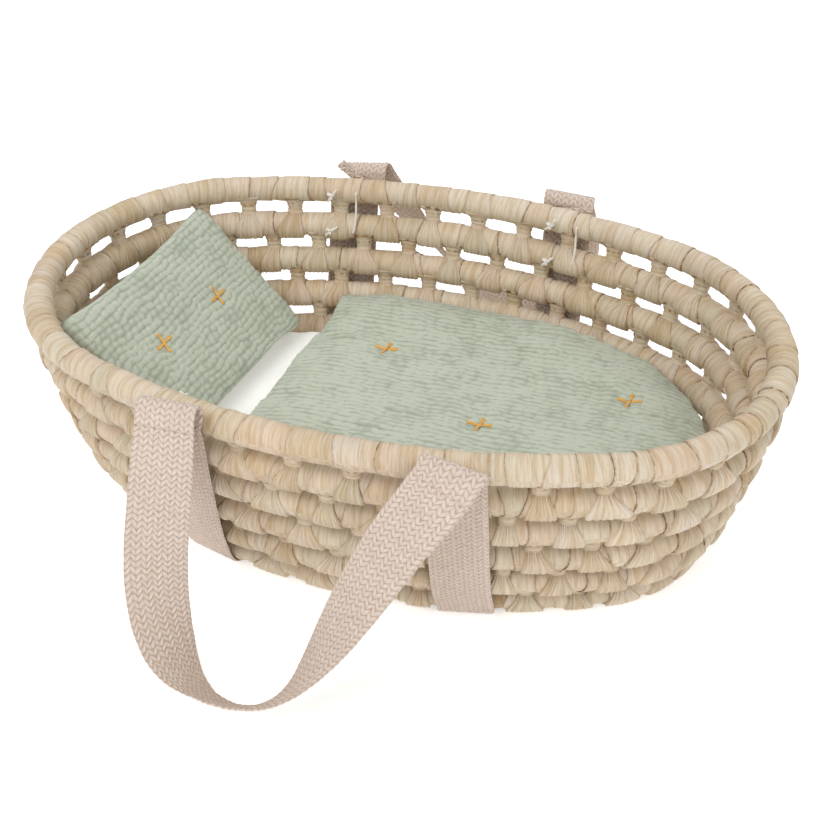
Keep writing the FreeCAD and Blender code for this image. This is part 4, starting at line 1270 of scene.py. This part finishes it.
def build_mattress():
    inset = 0.0012
    pad = pad_object("mattress_soft", oval_outline(MATTRESS, inset), MATTRESS_Z[0] + 0.0008,
                     MATTRESS_Z[1] - 0.0008)
    stuff(pad, 0.0055, 0.0010, 1)
    points = coordinates(pad.data)
    u, v = points[:, 0] / MM, points[:, 1] / MM
    slow = noise(u / 45, v / 30, 41) * 0.35 + noise(u / 16, v / 14, 42) * 0.18
    points += vertex_normals(pad.data) * (slow * MM)[:, None] * 0.6
    points[:, 2] = np.clip(points[:, 2], MATTRESS_Z[0], MATTRESS_Z[1] + 0.0002)
    set_coordinates(pad.data, points)
    # painted shade: the cotton is darker where the lumps dip
    dress(pad, cotton, np.stack([u, v], -1), np.clip(0.6 + slow, 0, 1))
    settle(pad, "mattress", "white_cotton", "mattress_cover_top", "mattress_foam", "mattress_cover_bottom")


def quilt_outline(inset):
    """Rounded foot end, long curved sides and a straight, slightly skewed head edge."""
    oval = Oval(QUILT["half_length"] - inset, QUILT["half_width"] - inset, QUILT["end_radius"] - inset)
    near, far = QUILT_HEAD
    points = oval.at(np.linspace(0, oval.length, 400, endpoint=False))[0]
    half = oval.half_width
    kept = []
    for x, y, _ in points:
        limit = near + (far - near) * (y + half) / (2 * half) + inset
        if x > limit + 0.001:
            kept.append((float(x), float(y)))
    start = max(range(len(kept)), key=lambda n: math.dist(kept[n], kept[n - 1]))
    return kept[start:] + kept[:start]


def swell_quilt(points):
    """The quilt fills the basket: its edge spreads to the wall, and climbs it on the far side."""
    x, y, z = points.T.copy()
    high = smooth((z - 0.055) / 0.012)
    outer = smooth((np.hypot(x / QUILT["half_length"], y / QUILT["half_width"]) - 0.72) / 0.3)
    points[:, 1] += np.sign(y) * 0.0070 * high * outer * smooth((np.abs(y) - 0.04) / 0.05)
    points[:, 0] += 0.0050 * high * smooth((x - 0.13) / 0.06)
    head = smooth((-0.045 - x) / 0.045)
    points[:, 0] -= head * (0.0040 + 0.0060 * (1 - smooth((y - 0.035) / 0.06)))
    climb = smooth((x - 0.03) / 0.09) * (1 - 0.55 * smooth((x - 0.150) / 0.05))
    edge = smooth((y - 0.028) / 0.070)
    wall = smooth((y - 0.055) / 0.055) * (1 - smooth((x - 0.14) / 0.05))
    points[:, 2] += high * (0.0070 * climb * edge + 0.0068 * wall + 0.0016 * smooth((x + 0.09) / 0.04))
    return points


def build_quilt():
    pad = pad_object("quilt_soft", quilt_outline(0.0016), QUILT_Z[0] + 0.0012, QUILT_Z[1] - 0.0035)
    stuff(pad, 0.005, 0.0042, 2)
    points = coordinates(pad.data)
    points = swell_quilt(points)
    set_coordinates(pad.data, points)
    normals = vertex_normals(pad.data)
    u, v = points[:, 0] / MM, points[:, 1] / MM
    puff = waffle(u, v, 21, 8.5, 4.3, 0.5)
    height = puff * 1.15 - 0.8 + 0.9 * noise(u / 38, v / 26, 29) + 0.45 * noise(u / 90, v / 9, 30)
    for x, y, _ in QUILT_CROSSES:
        away = np.hypot(u - x / MM, v - y / MM)
        turn = np.arctan2(v - y / MM, u - x / MM)
        pull = np.exp(-(away / 15) ** 2)
        height = height - 2.4 * np.exp(-(away / 8) ** 2) \
            + 0.8 * pull * np.cos(turn * 8 + 2 * noise(turn * 2, away / 9, 33))
    upper = smooth((normals[:, 2] + 0.2) / 0.6)
    points += normals * (height * MM * (0.35 + 0.65 * upper))[:, None]
    points = clear_of_coils(points)
    points[:, 2] = np.maximum(points[:, 2], QUILT_Z[0])
    set_coordinates(pad.data, points)
    # painted shade: the muslin is darker in the creases between puffs
    dress(pad, sage, np.stack([u, v], -1), np.clip(puff, 0, 1))
    settle(pad, "quilt", "sage_muslin", "quilt_top", "quilt_wadding", "quilt_backing")
    return pad


def pillow_matrix():
    turn = Matrix.Rotation(PILLOW_YAW, 4, "Z") @ Matrix.Rotation(PILLOW_TILT, 4, "Y")
    return Matrix.Translation(PILLOW_CENTRE) @ turn @ Matrix.Rotation(math.pi / 2, 4, "Z")


def pillow_outline(inset):
    """Rectangle with rounded corners and slightly hollow sides."""
    half_x, half_y = PILLOW_SIZE[0] / 2 - inset, PILLOW_SIZE[1] / 2 - inset
    radius = PILLOW_CORNER * 0.75
    points = []
    for corner in range(4):
        sx, sy = ((1, -1), (1, 1), (-1, 1), (-1, -1))[corner]
        for step in range(9):
            angle = math.pi / 2 * (corner - 1 + step / 8)
            points.append((sx * (half_x - radius) + radius * math.cos(angle),
                           sy * (half_y - radius) + radius * math.sin(angle)))
    dense = []
    for number, (x, y) in enumerate(points):
        nx, ny = points[(number + 1) % len(points)]
        parts = max(1, int(math.dist((x, y), (nx, ny)) / 0.006))
        for part in range(parts):
            px, py = x + (nx - x) * part / parts, y + (ny - y) * part / parts
            pinch = 1 - 0.018 * math.cos(math.pi * py / half_y / 2) if abs(px) > half_x * 0.7 else 1
            dense.append((px * pinch, py))
    return dense


def build_pillow():
    half = PILLOW_SIZE[2] / 2
    pad = pad_object("pillow_soft", pillow_outline(0.0020), -half * 0.52, half * 0.52)
    stuff(pad, 0.0042, 0.0050, 2)
    points = coordinates(pad.data)
    u, v, w = points[:, 0] / MM, points[:, 1] / MM, points[:, 2] / MM
    hx, hy = PILLOW_SIZE[0] / 2 / MM, PILLOW_SIZE[1] / 2 / MM
    dome = np.clip((1 - np.abs(u / hx) ** 5) * (1 - np.abs(v / hy) ** 5), 0, 1) ** 0.5
    thin = 2.2
    thick = thin + (half / MM - thin) * dome
    points[:, 2] = np.clip(w / 5.2, -1, 1) * thick * MM
    set_coordinates(pad.data, points)
    normals = vertex_normals(pad.data)
    puff = waffle(u, v, 51, 6.0, 4.9, 0.7)
    height = puff * 0.85 - 0.55 + 0.7 * noise(u / 26, v / 18, 55)
    for x, y, _ in PILLOW_CROSSES:
        away = np.hypot(u - x / MM, v - y / MM)
        height = height - 1.6 * np.exp(-(away / 7) ** 2)
    edge = np.maximum(np.abs(u) / hx, np.abs(v) / hy)
    seam = np.exp(-(points[:, 2] / MM / 1.1) ** 2) * smooth((edge - 0.9) / 0.05)
    height = height * (1 - 0.6 * seam) - 0.9 * seam
    points += normals * (height * MM)[:, None]
    set_coordinates(pad.data, points)
    # painted shade: the muslin is darker in the creases and along the seam
    dress(pad, sage, np.stack([u, v], -1), np.clip(puff * (1 - 0.5 * seam), 0, 1))
    pad.data.transform(pillow_matrix())
    set_coordinates(pad.data, clear_of_coils(coordinates(pad.data)))
    settle(pad, "pillow", "sage_muslin", "pillow_front", "pillow_filling", "pillow_back")
    return pad


def cross_threads(piece, tree, origin, along, aside, rise, turn):
    """One cross: two bundles of strands that follow the cloth and are raised where they meet."""
    for arm, (angle, reach) in enumerate(((turn, 0.0093), (turn + 76, 0.0082))):
        way = along * math.cos(math.radians(angle)) + aside * math.sin(math.radians(angle))
        beside = np.cross(rise, way)
        for strand in (-2, -1, 0, 1, 2):
            line = []
            for t in np.linspace(-1, 1, 17):
                t *= 1 - 0.06 * abs(strand)
                apart = 0.00052 * strand * (0.45 + 0.75 * t ** 2)
                spot = origin + way * (t * reach) + beside * apart
                hit = tree.ray_cast(Vector(spot + rise * 0.02), Vector(-rise))[0]
                ground = np.array(hit) if hit else spot
                lift = 0.0003 + 0.0004 * (1 - t ** 2) + 0.0006 * arm * math.exp(-(t / 0.25) ** 2)
                line.append(ground + rise * (lift if abs(t) < 0.85 else -0.0008))
            cord(piece, line, STRAND_RADIUS)


def build_band_stitch():
    """Short brown stitch across the near foot band, below its fold."""
    stations = band_stations(BAND_X["foot"], -1)
    (low, _, _), (high, across, normal) = stations[-3], stations[-2]
    middle = low + (high - low) * STITCH_HEIGHT
    surface = middle + normal * (WEB_THICKNESS / 2 + 0.0002)
    line = [surface + across * (t * STITCH_REACH) - normal * (0.0009 * abs(t) ** 6) + UP * (0.0002 * t)
            for t in np.linspace(-1, 1, 9)]
    piece = Piece()
    cord(piece, line, 0.00035)
    settle(piece.build("near_foot_band_stitch", brown_thread), "basket", "cotton_twine")


def build_embroidery(quilt, pillow):
    graph = bpy.context.evaluated_depsgraph_get()
    tree = BVHTree.FromObject(quilt, graph)
    piece = Piece()
    for x, y, turn in QUILT_CROSSES:
        cross_threads(piece, tree, np.array([x, y, QUILT_Z[1]]), np.array([1.0, 0, 0]),
                      np.array([0, 1.0, 0]), UP, turn)
    settle(piece.build("quilt_crosses", gold), "quilt", "gold_thread", "quilt_embroidery")
    tree = BVHTree.FromObject(pillow, graph)
    place = np.array(pillow_matrix())
    piece = Piece()
    for x, y, turn in PILLOW_CROSSES:
        origin = place[:3, :3] @ np.array([x, y, PILLOW_SIZE[2] / 2]) + place[:3, 3]
        cross_threads(piece, tree, origin, place[:3, 0], place[:3, 1], place[:3, 2], turn)
    settle(piece.build("pillow_crosses", gold), "pillow", "gold_thread", "pillow_embroidery")


# ----------------------------------------------------------------------- stage
def build_stage():
    scene = bpy.context.scene
    scene.view_settings.view_transform = "Standard"
    world = bpy.data.worlds.new("studio")
    world.use_nodes = True
    background = world.node_tree.nodes["Background"]
    background.inputs["Color"].default_value = (1.0, 1.0, 1.0, 1)
    background.inputs["Strength"].default_value = SKY
    scene.world = world
    bpy.ops.mesh.primitive_plane_add(size=FLOOR_SIZE, location=(0, 0, -FLOOR_DROP))
    floor = bpy.context.object
    floor.name = "floor"
    shader = Shader("studio_floor")
    grain = shader.noise(shader.here(), 3.0, 2.0)
    colour = shader.ramp(grain, [(0.3, (0.93, 0.93, 0.93)), (0.7, (0.95, 0.95, 0.95))])
    floor.data.materials.append(shader.finish(colour, 0.9, grain, 0.02, 0.001, 0, 0.1))
    shader.surface.inputs["Emission Color"].default_value = (1, 1, 1, 1)
    seen = shader.node("LightPath").outputs["Is Camera Ray"]
    shine = shader.plus(FLOOR_GLOW, shader.times(seen, FLOOR_GLOW_SEEN))
    shader.link(shine, shader.surface.inputs["Emission Strength"])
    for name, (place, size, power) in LIGHTS.items():
        area(name, place, size, power)
    camera = bpy.data.objects.new("camera", bpy.data.cameras.new("camera"))
    scene.collection.objects.link(camera)
    forward = CAMERA_FORWARD.normalized()
    right = forward.cross(CAMERA_UP).normalized()
    up = right.cross(forward)
    turn = Matrix((right, up, -forward)).transposed()
    camera.matrix_world = Matrix.Translation(CAMERA_PLACE) @ turn.to_4x4()
    camera.data.lens = CAMERA_LENS_MM
    camera.data.sensor_width = CAMERA_SENSOR_MM
    scene.camera = camera


def area(name, place, size, power):
    light = bpy.data.lights.new(name, "AREA")
    light.size = size
    light.energy = power
    lamp = bpy.data.objects.new(name, light)
    lamp.location = place
    lamp.rotation_euler = (Vector((0, 0, 0.05)) - Vector(place)).to_track_quat("-Z", "Y").to_euler()
    bpy.context.scene.collection.objects.link(lamp)
    return lamp


def main():
    build_husk()
    build_band("head")
    build_band("foot")
    build_handle("near", -1)
    build_handle("far", 1)
    build_lashings()
    build_band_stitch()
    build_mattress()
    quilt = build_quilt()
    pillow = build_pillow()
    build_embroidery(quilt, pillow)
    for name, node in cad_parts.items():
        if name.endswith("_core"):
            node.data.materials.clear()
            node.data.materials.append(husk_filling)
    build_stage()


main()
